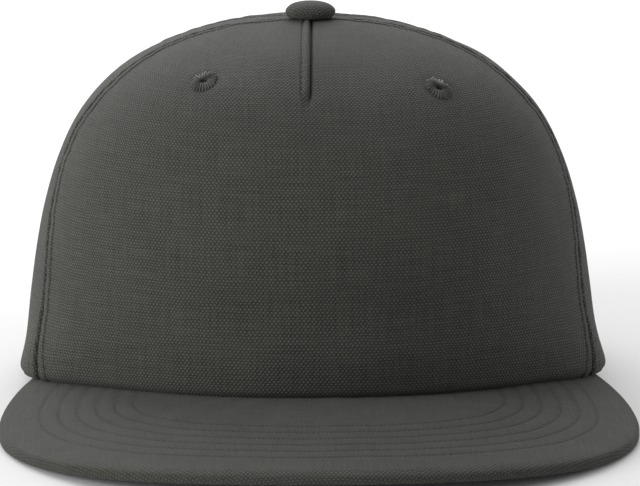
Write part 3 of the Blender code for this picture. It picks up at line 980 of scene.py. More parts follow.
@dataclass
class ClothPanel:
    """One cloth panel of the crown between two seams."""

    name: str
    shape: CapShape
    low: Array
    high: Array
    phase: float
    eyelets: tuple[tuple[float, float], ...] = ()
    spacing: float = 1.25 * MM
    seam: Seam = Seam()
    edge_gap: float = 0.06 * MM
    hole_radius: float = 2.4 * MM
    sewing: tuple[float, ...] = (
        0.0, 0.2, 0.4, 0.65, 0.9, 1.2, 1.6, 2.2, 3.0, 3.8, 4.3, 4.6, 4.8, 5.0, 5.2, 5.4, 5.7, 6.2, 7.0,
    )
    hem_lines: tuple[float, ...] = (0.0, 0.25, 0.55, 0.9, 1.3, 1.8, 2.4, 3.1, 4.0)
    hem_roll: float = 0.75 * MM
    hem_reach: float = 1.3 * MM
    hem_shade: float = 0.6
    hem_shade_width: float = 1.2 * MM
    dip: float = 0.22 * MM
    dip_radius: float = 5.0 * MM
    dip_width: float = 1.6 * MM
    narrowest: float = 0.27
    soft: float = 0.3 * MM

    def __post_init__(self) -> None:
        """Work out the panel's map."""
        self.map = PanelMap(self.shape, self.low, self.high)

    def scale(self, way: Array) -> Array:
        """How much the sewing is narrowed near the ring, where the panel is narrow."""
        most = self.sewing[-1] * MM
        return np.minimum(1.0, self.narrowest * self.map.width(way) / most)

    def seam_lines(self, way: Array) -> Array:
        """Distances from a seam of the dense lines beside it."""
        return np.array(self.sewing)[None, :] * MM * self.scale(way)[:, None] + self.edge_gap

    def columns(self, way: Array) -> Array:
        """Shares of the width at the grid's lines: dense beside both seams, even between them."""
        width = self.map.width(way)[:, None]
        near = self.seam_lines(way)
        count = int(self.map.widths.max() / self.spacing)
        even = np.linspace(0.0, 1.0, count + 1)[None, 1:-1]
        middle = near[:, -1:] + (width - 2 * near[:, -1:]) * even
        return np.concatenate([near, middle, (width - near)[:, ::-1]], axis=1) / width

    def rows(self) -> Array:
        """Ways up the crown at the grid's lines: dense at the hem, even along the cloth above it."""
        total = self.map.rises[-1]
        hem = np.array(self.hem_lines) * MM
        above = np.linspace(hem[-1], total, int(total / self.spacing))[1:]
        return self.map.way_at(np.concatenate([hem, above]))

    def own_relief(self, way: Array, share: Array, base: Array) -> Array:
        """Relief that only some panels have."""
        return np.zeros(np.broadcast(way, share).shape)

    def relief(self, way: Array, share: Array, base: Array) -> Array:
        """Height of the cloth over the crown's plain surface.

        The sum of both seams' relief, the rolled hem, a shallow ring round each eyelet and slow
        waves of the cloth, which fade out near the ring.
        """
        width = self.map.width(way)
        scale = self.scale(way)
        along = self.map.rise(way)
        low = self.seam.relief(share * width, scale, along, self.phase)
        high = self.seam.relief((1.0 - share) * width, scale, along, self.phase + 1.9)
        hem = -self.hem_roll * bell(along, 0.0, self.hem_reach)
        across = (share - 0.5) * width
        slow = ripple(across + 0.3 * along, (47.0 * MM, 31.0 * MM, 71.0 * MM), self.phase)
        slow = slow * ripple(along - 0.2 * across, (39.0 * MM, 57.0 * MM), self.phase + 0.8)
        height = low + high + hem + self.soft * slow * scale
        for seat, _ in (self.seat(*place) for place in self.eyelets):
            off = np.linalg.norm(base - seat, axis=-1)
            height = height - self.dip * bell(off, self.dip_radius, self.dip_width)
        return height + self.own_relief(way, share, base)

    def own_painted_shade(self, way: Array, share: Array, base: Array) -> Array:
        """Painted shade in folds that only some panels have."""
        return np.zeros(np.broadcast(way, share).shape)

    def painted_shade(self, way: Array, share: Array) -> Array:
        """Painted shade: in both seams, at the rolled hem and in folds of its own."""
        width = self.map.width(way)
        scale = self.scale(way)
        low = self.seam.painted_shade(share * width, scale)
        high = self.seam.painted_shade((1.0 - share) * width, scale)
        hem = self.hem_shade * bell(self.map.rise(way), 0.0, self.hem_shade_width)
        base = self.shape.point(self.map.angle(way, share), way)
        return low + high + hem + self.own_painted_shade(way, share, base)

    def seat(self, angle: float, height: float) -> tuple[Array, Array]:
        """Point and outward normal of the plain surface at an eyelet."""
        way = self.shape.way_at_height(height)
        return self.shape.point(angle, way), self.shape.normal(angle, way)

    def surface(self, way: Array, share: Array) -> tuple[Array, Array, Array]:
        """Outer points, inner points and normals of the panel at places on it."""
        angle = self.map.angle(way, share)
        base = self.shape.point(angle, way)
        normal = self.shape.normal(angle, way)
        outer = base + normal * self.relief(way, share, base)[..., None]
        return outer, base - normal * self.shape.cloth, normal

    def grid(self) -> tuple[Array, Array]:
        """Ways and shares of the width at the grid's crossings."""
        way = self.rows()
        return np.broadcast_arrays(way[:, None], self.columns(way))

    def open_holes(self, outer: Array, inner: Array) -> Array:
        """Take the quads inside each eyelet out, and draw the points round them onto its circle.

        Args:
            outer: outer points, which are changed.
            inner: inner points, which are changed.

        Returns:
            For each quad, whether it is taken out.
        """
        gone = np.zeros((outer.shape[0] - 1, outer.shape[1] - 1), dtype=bool)
        for place in self.eyelets:
            seat, axis = self.seat(*place)
            rest = outer - seat
            flat = rest - (rest @ axis)[..., None] * axis
            off = np.linalg.norm(flat, axis=-1)
            off[np.linalg.norm(rest, axis=-1) > 6 * self.hole_radius] = 1.0
            middle = (off[:-1, :-1] + off[1:, :-1] + off[:-1, 1:] + off[1:, 1:]) / 4
            here = middle < self.hole_radius
            gone |= here
            touched = np.zeros(off.shape, dtype=int)
            for rows in (slice(None, -1), slice(1, None)):
                for columns in (slice(None, -1), slice(1, None)):
                    touched[rows, columns] += here
            edge = (touched > 0) & (touched < 4)
            move = flat[edge] * (self.hole_radius / off[edge] - 1.0)[:, None]
            outer[edge] += move
            inner[edge] += move
        return gone

    def build(self, finish: bpy.types.Material, sewn: list[bpy.types.Object]) -> bpy.types.Object:
        """The panel as a closed wall of cloth."""
        way, share = self.grid()
        outer, inner, _ = self.surface(way, share)
        over_table(outer, inner)
        gone = self.open_holes(outer, inner)
        uv = np.stack([(share - 0.5) * self.map.width(way), self.map.rise(way)], axis=-1)
        made = MeshMaker.shell(self.name + "_cloth", outer, inner, uv, gone, self.painted_shade(way, share))
        dress(made, finish, "canvas", self.name)
        return made

    def seam_row(self, side: str, start: float = 0.0) -> tuple[Array, Array]:
        """Path of the topstitch row beside a seam.

        Args:
            side: low or high, the seam it runs beside.
            start: distance up the cloth where it starts.

        Returns:
            Points and normals along the row.
        """
        rise = np.linspace(start + 1.5 * MM, 0.975 * self.map.rises[-1], 400)
        way = self.map.way_at(rise)
        off = self.seam.stitch * self.scale(way) / self.map.width(way)
        share = off if side == "low" else 1.0 - off
        outer, _, normal = self.surface(way, share)
        return outer, normal


@dataclass
class FrontPanel(ClothPanel):
    """The wide front panel with its dart and its shallow dents."""

    dart: Dart = Dart()
    dart_lines: tuple[float, ...] = (
        -4.0, -3.3, -2.9, -2.65, -2.5, -2.3, -2.0, -1.5, -1.0, -0.5, -0.2, 0.0,
        0.12, 0.25, 0.4, 0.6, 0.9, 1.4, 2.1, 3.0, 4.2,
    )
    dart_most: float = 0.16

    def aside(self, way: Array) -> Array:
        """How far the dart's seam lies left of the panel's middle, growing evenly down to its end."""
        down = self.map.rises[-1] - self.map.rise(way)
        return self.dart.aside * np.clip(down / self.dart.length, 0.0, 1.0)

    def columns(self, way: Array) -> Array:
        """Shares of the width, dense beside both seams and the dart."""
        width = self.map.width(way)[:, None]
        near = self.seam_lines(way)
        lines = np.array(self.dart_lines)[None, :] * MM * self.dart_scale(way)[:, None]
        dart = width / 2 - self.aside(way)[:, None] + lines
        count = int(self.map.widths.max() / 2 / self.spacing)
        even = np.linspace(0.0, 1.0, count + 1)[None, 1:-1]
        left = near[:, -1:] + (dart[:, :1] - near[:, -1:]) * even
        right = dart[:, -1:] + (width - near[:, -1:] - dart[:, -1:]) * even
        return np.concatenate([near, left, dart, right, (width - near)[:, ::-1]], axis=1) / width

    def dart_scale(self, way: Array) -> Array:
        """How much the dart is narrowed near the ring."""
        return np.minimum(1.0, self.dart_most * self.map.width(way) / (self.dart_lines[-1] * MM))

    def own_relief(self, way: Array, share: Array, base: Array) -> Array:
        """The dart's relief and the sum of the dents, each a bell both ways."""
        width = self.map.width(way)
        across = (share - 0.5) * width
        up = self.map.rise(way)
        narrow = self.dart_scale(way)
        height = self.dart.relief((across + self.aside(way)) / narrow, self.map.rises[-1] - up) * narrow
        for row in FRONT_DENTS:
            size = dict(zip(DENT_COLUMNS, np.array(row) * MM))
            dent = bell(across, size["across"], size["wide"]) * bell(up, size["up"], size["high"])
            height = height + size["depth"] * dent
        return height

    def own_painted_shade(self, way: Array, share: Array, base: Array) -> Array:
        """Painted shade in the dart's folds."""
        across = ((share - 0.5) * self.map.width(way) + self.aside(way)) / self.dart_scale(way)
        return self.dart.painted_shade(across, self.map.rises[-1] - self.map.rise(way))

    def dart_row(self) -> tuple[Array, Array]:
        """Path of the topstitch row left of the dart."""
        down = np.linspace(7.0 * MM, self.dart.length, 200)
        way = self.map.way_at(self.map.rises[-1] - down)
        off = self.aside(way) + self.dart.strip_width * self.dart_scale(way)
        share = 0.5 - off / self.map.width(way)
        outer, _, normal = self.surface(way, share)
        return outer, normal


@dataclass
class BackPanel(ClothPanel):
    """A back panel, whose lower edge follows the hem and then the arch over the strap."""

    side: Side = Side.RIGHT
    arch_strip: float = 5.0 * MM
    arch_rise: float = 0.3 * MM
    arch_edge: float = 0.6 * MM
    arch_edge_width: float = 0.8 * MM
    arch_groove: float = 0.24 * MM
    arch_groove_width: float = 0.45 * MM
    arch_edge_shade: float = 0.4
    arch_row_shade: float = 0.5
    arch_columns: int = 78

    def arch_off(self, points: Array) -> Array:
        """Distance outside the arch: from its round top, or from its straight feet below that."""
        above = np.maximum(points[..., 2] - self.shape.arch_foot, 0.0)
        return np.hypot(points[..., 0], above) - self.shape.arch_radius

    def own_relief(self, way: Array, share: Array, base: Array) -> Array:
        """The turned edge of the arch, with a folded strip and a stitch row."""
        off = self.arch_off(base)
        fall = smooth(self.arch_strip, self.arch_strip + 1.5 * MM, off)
        strip = smooth(0.0, 1.0 * MM, off) * (1.0 - fall)
        uneven = ripple(base[..., 0] + 1.7 * base[..., 2], (6.1 * MM, 9.7 * MM), self.phase)
        height = self.arch_rise * strip * (1.0 + 0.2 * uneven)
        height = height - self.arch_edge * bell(off, 0.0, self.arch_edge_width)
        return height - self.arch_groove * bell(off, self.arch_strip, self.arch_groove_width)

    def own_painted_shade(self, way: Array, share: Array, base: Array) -> Array:
        """Painted shade at the folded edge and in the stitch row of the arch."""
        off = self.arch_off(base)
        edge = self.arch_edge_shade * bell(off, 0.0, self.arch_edge_width)
        return edge + self.arch_row_shade * bell(off, self.arch_strip, self.arch_groove_width)

    def locate(self, across: Array, height: Array) -> tuple[Array, Array]:
        """Way and share of the panel's width at a distance from the middle and a height, at the back.

        The share is found by halving, because the distance falls evenly from the side to the middle.
        """
        way = self.shape.way_at_height(height / self.shape.crown_height)
        near = np.zeros_like(way)
        far = np.ones_like(way)
        for _ in range(24):
            middle = (near + far) / 2
            x = self.shape.plan(self.map.angle(way, self.turned(middle)), self.shape.section_at(way))[0]
            outside = np.abs(x) > across
            near = np.where(outside, middle, near)
            far = np.where(outside, far, middle)
        return way, self.turned((near + far) / 2)

    def turned(self, share: Array) -> Array:
        """A share counted from the side seam, as one counted from the low seam, and back."""
        return share if self.side is Side.RIGHT else 1.0 - share

    def arch_line(self, off: float, count: int) -> tuple[Array, Array]:
        """Way and share along the arch at a distance outside it, from its foot to the middle."""
        foot = self.shape.arch_foot
        out = self.shape.arch_radius + off
        total = foot + out * math.pi / 2
        run = np.linspace(0.0, total, count)
        turn = np.maximum(run - foot, 0.0) / out
        across = out * np.cos(turn)
        height = np.minimum(run, foot) + out * np.sin(turn)
        return self.locate(np.maximum(across, self.edge_gap), height)

    def grid(self) -> tuple[Array, Array]:
        """Ways and shares: the lowest line follows hem and arch, and the lines above straighten out."""
        arch_way, arch_share = self.arch_line(0.0, self.arch_columns)
        arch_share = self.turned(arch_share)
        rows = self.rows()
        regular = self.columns(rows)
        if self.side is Side.LEFT:
            regular = 1.0 - regular[:, ::-1]
        columns = regular.shape[1]
        hem_columns = columns - self.arch_columns
        near = regular[0, : len(self.sewing)]
        rest = np.linspace(near[-1], arch_share[0], hem_columns - len(near) + 1)[1:]
        low_share = np.concatenate([near, rest, arch_share])[:columns]
        low_way = np.concatenate([np.zeros(len(near) + len(rest)), arch_way])[:columns]
        t = self.map.rise(rows)[:, None] / self.map.rises[-1]
        way = low_way + (1.0 - low_way) * self.map.way_at(t * self.map.rises[-1])
        blend = (1.0 - smooth(0.0, 0.75, t)) ** 2
        share = low_share * blend + regular * (1.0 - blend)
        if self.side is Side.LEFT:
            return way[:, ::-1], (1.0 - share)[:, ::-1]
        return way, share

    def arch_row(self) -> tuple[Array, Array]:
        """Path of the stitch row round the arch."""
        way, share = self.arch_line(self.arch_strip, 160)
        outer, _, normal = self.surface(way, share)
        return outer[4:], normal[4:]

    def middle_start(self) -> float:
        """Distance up the cloth where the back seam starts, over the arch."""
        way = self.shape.way_at_height(self.shape.arch_height / self.shape.crown_height)
        return float(self.map.rise(way)) + self.arch_strip


@dataclass
class Crown:
    """The five panels, their topstitching and the eyelets."""

    shape: CapShape
    finishes: Finishes

    def seams(self, column: str) -> Array:
        """A seam's angle at each even way up the crown."""
        return self.shape.section_at(np.linspace(0.0, 1.0, PanelMap.WAYS))[column]

    def panels(self) -> list[ClothPanel]:
        """The panels, each with the eyelets that are in it."""
        front = self.seams("seam")
        rear = self.seams("rear")
        middle = np.full_like(rear, 180.0)
        spots = {name: (angle, height) for name, angle, height in EYELETS}
        fronts = (spots["front_left"], spots["front_right"])
        shape = self.shape
        return [
            FrontPanel("front_panel", shape, -front, front, 0.3, fronts),
            ClothPanel("left_side_panel", shape, -rear, -front, 1.1, (spots["side_left"],)),
            ClothPanel("right_side_panel", shape, front, rear, 2.2, (spots["side_right"],)),
            BackPanel("left_back_panel", shape, -middle, -rear, 3.1, (spots["back_left"],), side=Side.LEFT),
            BackPanel("right_back_panel", shape, rear, middle, 4.2, (spots["back_right"],), side=Side.RIGHT),
        ]

    def rows_of(self, panel: ClothPanel) -> Paths:
        """Paths of all the stitch rows on a panel."""
        starts = {"low": 0.0, "high": 0.0}
        if isinstance(panel, BackPanel):
            starts["high" if panel.side is Side.RIGHT else "low"] = panel.middle_start()
        rows = [panel.seam_row(side, start) for side, start in starts.items()]
        if isinstance(panel, FrontPanel):
            rows.append(panel.dart_row())
        if isinstance(panel, BackPanel):
            rows.append(panel.arch_row())
        return rows

    def build(self) -> None:
        """Make every panel with its stitches, then the eyelets."""
        for panel in self.panels():
            stitches = Stitching().build(panel.name + "_stitches", self.rows_of(panel))
            dress(stitches, self.finishes.thread, "thread")
            panel.build(self.finishes.canvas, [stitches])
        for name, angle, height in EYELETS:
            Eyelet(name, self.shape, angle, height).build(self.finishes.thread)


@dataclass
class Eyelet:
    """A hand-sized sewn eyelet: stitches laid side by side round a small hole, through the cloth."""

    name: str
    shape: CapShape
    angle: float
    height: float
    stitches: int = 24
    fineness: int = 8
    ridge: float = 0.4 * MM
    ragged: float = 0.35 * MM
    ridge_middle: float = 0.6
    ridge_height: float = 1.4
    uneven_height: float = 0.06 * MM
    inside: float = -1.0 * MM
    outer_part: tuple[float, float] = (2.4 * MM, 3.6 * MM)
    thread_run: float = 2.6 * MM
    stretch: float = 0.36
    bow: float = 70.0 * MM
    # Radius and height over the cloth's outside, round the section, in millimetres. The last column
    # says how far the stitches stand out there.
    section: tuple[Triple, ...] = (
        (1.15, -0.9, 0.0),
        (1.17, -0.3, 0.2),
        (1.3, 0.15, 0.5),
        (1.6, 0.36, 0.8),
        (2.2, 0.46, 1.0),
        (2.85, 0.46, 1.0),
        (3.4, 0.36, 1.0),
        (3.85, 0.16, 1.0),
        (4.15, -0.12, 1.0),
        (4.05, -0.3, 0.5),
        (2.25, 0.0, 0.0),
        (2.2, -1.85, 0.0),
        (3.3, -1.87, 0.5),
        (3.45, -2.1, 0.9),
        (3.0, -2.42, 1.0),
        (2.2, -2.5, 1.0),
        (1.55, -2.3, 0.8),
        (1.2, -1.8, 0.3),
    )

    def build(self, finish: bpy.types.Material) -> bpy.types.Object:
        """The eyelet as a closed ring.

        Its section is turned round the hole. The height gains ridge times |cos| of half the stitch
        count, and the outer radius gains an uneven wave, so that the stitches end raggedly.
        """
        count = self.stitches * self.fineness
        turn = turns(count)
        table = np.array(self.section)
        radius, height, share = table[:, 0, None] * MM, table[:, 1, None] * MM, table[:, 2, None]
        ridge = np.abs(np.cos(turn * self.stitches / 2))[None, :]
        stitch = np.floor(turn * self.stitches / (2 * math.pi) + 0.5)
        uneven = (np.sin(stitch * 2.4 + self.angle) + np.sin(stitch * 4.1 + 1.3))[None, :] / 2
        outward = share * self.ridge * (ridge - self.ridge_middle)
        above = np.where(height > self.inside, 1.0, -1.0)
        edge = smooth(*self.outer_part, radius)
        radius = radius + outward * edge + self.ragged * uneven * edge * share
        height = height + above * (outward * self.ridge_height + self.uneven_height * uneven * share)
        spot = self.shape.way_at_height(self.height)
        seat = self.shape.point(self.angle, spot)
        axis = self.shape.normal(self.angle, spot)
        first = unit(np.cross(axis, np.array([0.0, 0.0, 1.0])))
        second = np.cross(axis, first)
        around = first * np.cos(turn)[:, None] + second * np.sin(turn)[:, None]
        level = np.array([1.0, 0.0, 0.0]) if abs(axis[0]) < 0.7 else np.array([0.0, 1.0, 0.0])
        upright = unit(np.cross(level, axis))
        raised = radius * (around @ upright)
        taller = (self.stretch * edge * raised)[..., None] * upright
        height = height - ((1.0 + self.stretch * edge) * raised) ** 2 / (2.0 * self.bow)
        points = seat + radius[..., None] * around + taller + height[..., None] * axis
        faces = MeshMaker.grid_faces(len(table) + 1, count, closed=True) % points[..., 0].size
        run = running_length(table[:, :2]) * MM
        uv = np.stack(np.broadcast_arrays(run[:, None], turn[None, :] * self.thread_run), axis=-1)
        name = "eyelet_" + self.name
        return dress(MeshMaker.thing(name + "_sewn", points, faces, uv), finish, "thread", name)


@dataclass
class Button:
    """The cloth-covered button on top: a flattened dome, gathered under its rim, on its post."""

    shape: CapShape
    radius: float = 8.0 * MM
    height: float = 5.0 * MM
    gap: float = 0.3 * MM
    post: float = 2.2 * MM
    post_reach: float = 2.2 * MM
    edge_share: float = 0.34
    around: int = 120
    gathers: int = 16
    gather: float = 0.05 * MM
    shoulder: float = 0.8
    # Radius and height under the dome, as shares of the button's radius and of its edge's height.
    rim: tuple[tuple[float, float], ...] = ((0.8, 0.0), (0.9, 0.1), (0.96, 0.45))

    def build(self, finish: bpy.types.Material) -> bpy.types.Object:
        """The button: a section turned round the axis, with faint gathers that fade towards the top."""
        seat = self.shape.crown_height + self.gap
        edge = self.edge_share * self.height
        turn = np.radians(np.linspace(90.0, 4.0, 24))
        dome_height = seat + edge + (self.height - edge) * np.cos(turn)
        dome = np.stack([self.radius * np.sin(turn) ** self.shoulder, dome_height], axis=-1)
        low = seat - self.post_reach - self.shape.cloth - self.gap
        foot = np.array([[0.0, low], [self.post, low], [self.post, seat]])
        rim = np.array([[self.radius * across, seat + edge * up] for across, up in self.rim])
        top = np.array([[0.0, seat + self.height]])
        section = np.concatenate([foot, rim, dome, top])
        run = running_length(section)
        angle = turns(self.around)
        from_top = (run[-1] - run)[:, None]
        over_post = section[:, 1:] > seat - 0.1 * MM
        gather = smooth(0.35 * self.radius, 1.1 * self.radius, section[:, :1]) * over_post
        wave = np.cos(self.gathers * angle)[None, :] + 0.6 * np.sin(5 * angle + 0.4)[None, :]
        radius = section[:, :1] + self.gather * wave * gather
        height = np.broadcast_to(section[:, 1:], radius.shape)
        x = radius * np.cos(angle)
        y = self.shape.shift + radius * np.sin(angle)
        points = np.stack([x, y, height], axis=-1)
        uv = np.stack([from_top * np.cos(angle), from_top * np.sin(angle)], axis=-1)
        flat = MeshMaker.with_poles(points)
        rows = len(section) - 2
        quads = MeshMaker.grid_faces(rows, self.around, closed=True) + 1
        ring = np.arange(self.around)
        after = (ring + 1) % self.around
        bottom = np.stack([np.zeros_like(ring), after + 1, ring + 1], axis=-1)
        last = 1 + (rows - 1) * self.around
        cap = np.stack([ring + last, after + last, np.full_like(ring, len(flat) - 1)], axis=-1)
        faces = quads.tolist() + bottom.tolist() + cap.tolist()
        made = MeshMaker.thing("top_button_cloth", flat, faces, MeshMaker.with_poles(uv))
        return dress(made, finish, "canvas", "top_button")


@dataclass
class Peak:
    """The flat peak: cloth over a stiff core, with rows of stitches that follow its outer edge."""

    shape: CapShape
    columns: int = 240
    spacing: float = 0.55 * MM
    edge_round: float = 1.5 * MM
    edge_steps: int = 14
    edge_power: float = 0.6
    edge_shade: float = 0.2
    rows_of_stitches: int = 6
    first_row: float = 12.6 * MM
    row_spacing: float = 5.7 * MM
    front_lead: float = 3.4 * MM
    front_spread: float = 0.063
    roll: float = 1.5 * MM
    roll_width: float = 5.0 * MM
    groove: float = 0.22 * MM
    groove_width: float = 0.45 * MM
    # Painted shade in each stitch row's groove.
    fold: float = 0.4
    pillow: float = 0.05 * MM
    slow: float = 0.10 * MM
    slow_from: tuple[float, float] = (2.0 * MM, 12.0 * MM)
    uneven: float = 0.3
    underside_aside: float = 0.31
    turned: float = 114.0
    pitch: float = 3.4 * MM
    path_points: int = 900
    hidden: float = 0.5 * MM
    # First and last distance from the edge, and the step, of the search for the tongue's end
    search: Triple = (3.0 * MM, 100.0 * MM, 0.25 * MM)

    def outline(self, angle: Array) -> tuple[Array, Array]:
        """The outer edge's plan points and its inward normals."""
        step = 0.2
        near = (angle - step, angle, angle + step)
        before, line, after = (np.stack(self.shape.peak_outline(turn), axis=-1) for turn in near)
        ahead = after - before
        return line, unit(np.stack([-ahead[..., 1], ahead[..., 0]], axis=-1))

    def depth_under_hem(self, points: Array) -> Array:
        """How far plan points are inside the crown's hem line, along the radius from the button's axis."""
        x = points[..., 0]
        back = self.shape.shift - points[..., 1]
        angle = np.degrees(np.arctan2(x, back))
        hem = np.stack(self.shape.plan(angle, self.shape.section_at(np.zeros_like(angle))), axis=-1)
        reach = np.hypot(hem[..., 0], self.shape.shift - hem[..., 1])
        return reach - np.hypot(x, back)

    def reach(self, angle: Array) -> Array:
        """Distance from the outer edge, along its normal, to the tongue's end under the hem."""
        line, inward = self.outline(angle)
        off = np.arange(*self.search)
        depth = self.depth_under_hem(line[:, None] + inward[:, None] * off[None, :, None])
        inside = depth > self.shape.peak_tongue
        first = np.where(inside.any(axis=1), inside.argmax(axis=1), len(off) - 1)
        return off[first]

    def stitch_offsets(self) -> Array:
        """Distance of each stitch row from the outer edge."""
        return self.first_row + np.arange(self.rows_of_stitches) * self.row_spacing

    @staticmethod
    def frontness(angle: Array) -> Array:
        """How far in front an angle of the outline is: its cosine squared, 0 behind the sides."""
        return np.maximum(np.cos(np.radians(angle)), 0.0) ** 2

    def plain_off(self, off: Array, angle: Array) -> Array:
        """Distance from the edge that a place would have if the rows ran evenly round the whole peak."""
        front = self.frontness(angle)
        moved = off - self.first_row - self.front_lead * front
        return self.first_row + moved / (1.0 + self.front_spread * front)

    def row_off(self, row: float, angle: Array) -> Array:
        """Distance from the edge of a stitch row, which lies further in at the front."""
        return row + self.frontness(angle) * (self.front_lead + self.front_spread * (row - self.first_row))

    def rolled(self, off: Array, angle: Array) -> Array:
        """Drop of the top towards the front's edge: roll (1 - off / roll_width)^2."""
        return self.roll * self.frontness(angle) * np.maximum(1.0 - off / self.roll_width, 0.0) ** 2

    def relief(self, off: Array, along: Array) -> Array:
        """Height of the cloth over the peak's plain top.

        A bell-shaped groove at each stitch row, a low swell between the rows, and slow waves.
        """
        rows = self.stitch_offsets()
        height = self.slow * ripple(along, (33.0 * MM, 51.0 * MM), 0.5) * smooth(*self.slow_from, off)
        past = smooth(rows[-1] - 1.0 * MM, rows[-1] + 1.0 * MM, off)
        sewn = smooth(rows[0] - 1.5 * MM, rows[0] + 1.5 * MM, off) * (1.0 - past)
        swell = np.abs(np.sin(math.pi * (off - rows[0]) / self.row_spacing))
        height = height + self.pillow * swell * sewn
        uneven = 1.0 + self.uneven * ripple(along, (3.4 * MM, 7.9 * MM, 12.1 * MM), 1.4)
        for place in rows:
            height = height - self.groove * uneven * bell(off, place, self.groove_width)
        return height

    def surface(self, angle: Array, off: Array, along: Array, below: bool = False) -> tuple[Array, Array]:
        """Points and plan places of the peak's top, or of its underside, at a distance from its edge."""
        line, inward = self.outline(angle)
        plan = line + inward * off[..., None]
        height = self.shape.peak_top(plan[..., 0], plan[..., 1])
        relief = self.relief(self.plain_off(off, angle), along) * smooth(0.0, self.edge_round, off)
        if below:
            height = height - self.shape.peak_thickness - relief
        else:
            height = height + relief - self.rolled(off, angle)
        return np.concatenate([plan, height[..., None]], axis=-1), plan

    def build(self, finish: bpy.types.Material) -> bpy.types.Object:
        """The peak as one closed body: top, rounded edge and underside on one grid, and its two ends."""
        angle = np.linspace(-self.turned, self.turned, self.columns + 1)
        line, inward = self.outline(angle)
        along = running_length(line)
        reach = self.reach(angle)
        count = int(reach.max() / self.spacing)
        share = np.linspace(0.0, 1.0, count + 1)[:, None]
        off = self.edge_round + (reach[None, :] - self.edge_round) * share
        turn = np.radians(np.linspace(90.0, -90.0, self.edge_steps + 1))[1:-1]
        bend = np.abs(np.cos(turn)) ** self.edge_power
        edge_off = self.edge_round * (1.0 - bend)
        rise = signed_power(np.sin(turn), self.edge_power)
        angles = np.broadcast_to(angle, off.shape)
        alongs = np.broadcast_to(along, off.shape)
        top, top_plan = self.surface(angles, off, alongs)
        bottom, bottom_plan = self.surface(angles, off, alongs, below=True)
        edge_plan = line[None] + inward[None] * edge_off[:, None, None]
        middle = self.shape.peak_top(edge_plan[..., 0], edge_plan[..., 1]) - self.shape.peak_thickness / 2
        drop = self.rolled(edge_off[:, None], angle[None]) * (1.0 + rise[:, None]) / 2
        edge_height = middle + rise[:, None] * self.shape.peak_thickness / 2 - drop
        edge = np.concatenate([edge_plan, edge_height[..., None]], axis=-1)
        points = np.concatenate([top[::-1], edge, bottom])
        wrap = running_length(np.swapaxes(np.concatenate([top[:1], edge, bottom[:1]]), 0, 1)).T
        edge_uv = top_plan[0][None] - inward[None] * wrap[1:, :, None]
        below_plan = bottom_plan + np.array([0.0, self.underside_aside])
        uv = np.concatenate([top_plan[::-1], edge_uv[:-1], below_plan])
        plain = self.plain_off(off, angles)
        # Painted shade in the stitch rows' grooves, and an even painted shade on the rounded edge.
        folds = sum(self.fold * bell(plain, place, self.groove_width) for place in self.stitch_offsets())
        painted_shade = np.concatenate([folds[::-1], np.full(edge.shape[:2], self.edge_shade), folds])
        faces = self.faces(*points.shape[:2])
        made = MeshMaker.thing("peak_cloth", points, faces, uv, painted_shade)
        return dress(made, finish, "peak_canvas", "peak")

    @staticmethod
    def faces(rows: int, columns: int) -> Array:
        """Corner numbers of the peak's faces: the wrapped grid, its two ends and the tongue's back."""
        index = np.arange(rows * columns).reshape(rows, columns)
        half = rows // 2
        parts = [MeshMaker.grid_faces(rows, columns)[:, ::-1]]
        for column, turned in ((0, 1), (-1, -1)):
            strip = index[:, column]
            back = strip[::-1]
            quads = np.stack([strip[:half], strip[1 : half + 1], back[1 : half + 1], back[:half]], axis=-1)
            quads = quads[quads[:, 1] != quads[:, 2]]
            parts.append(quads[:, ::turned])
        parts.append(np.stack([index[0, :-1], index[-1, :-1], index[-1, 1:], index[0, 1:]], axis=-1))
        return np.concatenate(parts)

    def stitch_paths(self) -> Paths:
        """Paths of the stitch rows, on top and below, where they are outside the crown's hem."""
        paths = []
        angle = np.linspace(-self.turned, self.turned, self.path_points)
        line, _ = self.outline(angle)
        along = running_length(line)
        for row in self.stitch_offsets():
            offs = self.row_off(row, angle)
            for below in (False, True):
                points, plan = self.surface(angle, offs, along, below)
                shown = self.depth_under_hem(plan) < -self.hidden
                spots = points[shown]
                climb = np.gradient(self.shape.peak_top(spots[:, 0], spots[:, 1]))
                slope = climb / np.maximum(np.abs(np.gradient(spots[:, 0])), 1e-6)
                normal = unit(np.stack([-slope * 0.3, np.zeros_like(slope), np.ones_like(slope)], axis=-1))
                paths.append((spots, -normal if below else normal))
        return paths

    def build_all(self, finishes: Finishes) -> None:
        """The peak and its stitches."""
        self.build(finishes.peak_canvas)
        stitching = Stitching(pitch=self.pitch, length=2.6 * MM, width=0.42 * MM, sink=0.3 * MM)
        stitches = stitching.build("peak_stitches", self.stitch_paths())
        dress(stitches, finishes.thread, "thread")


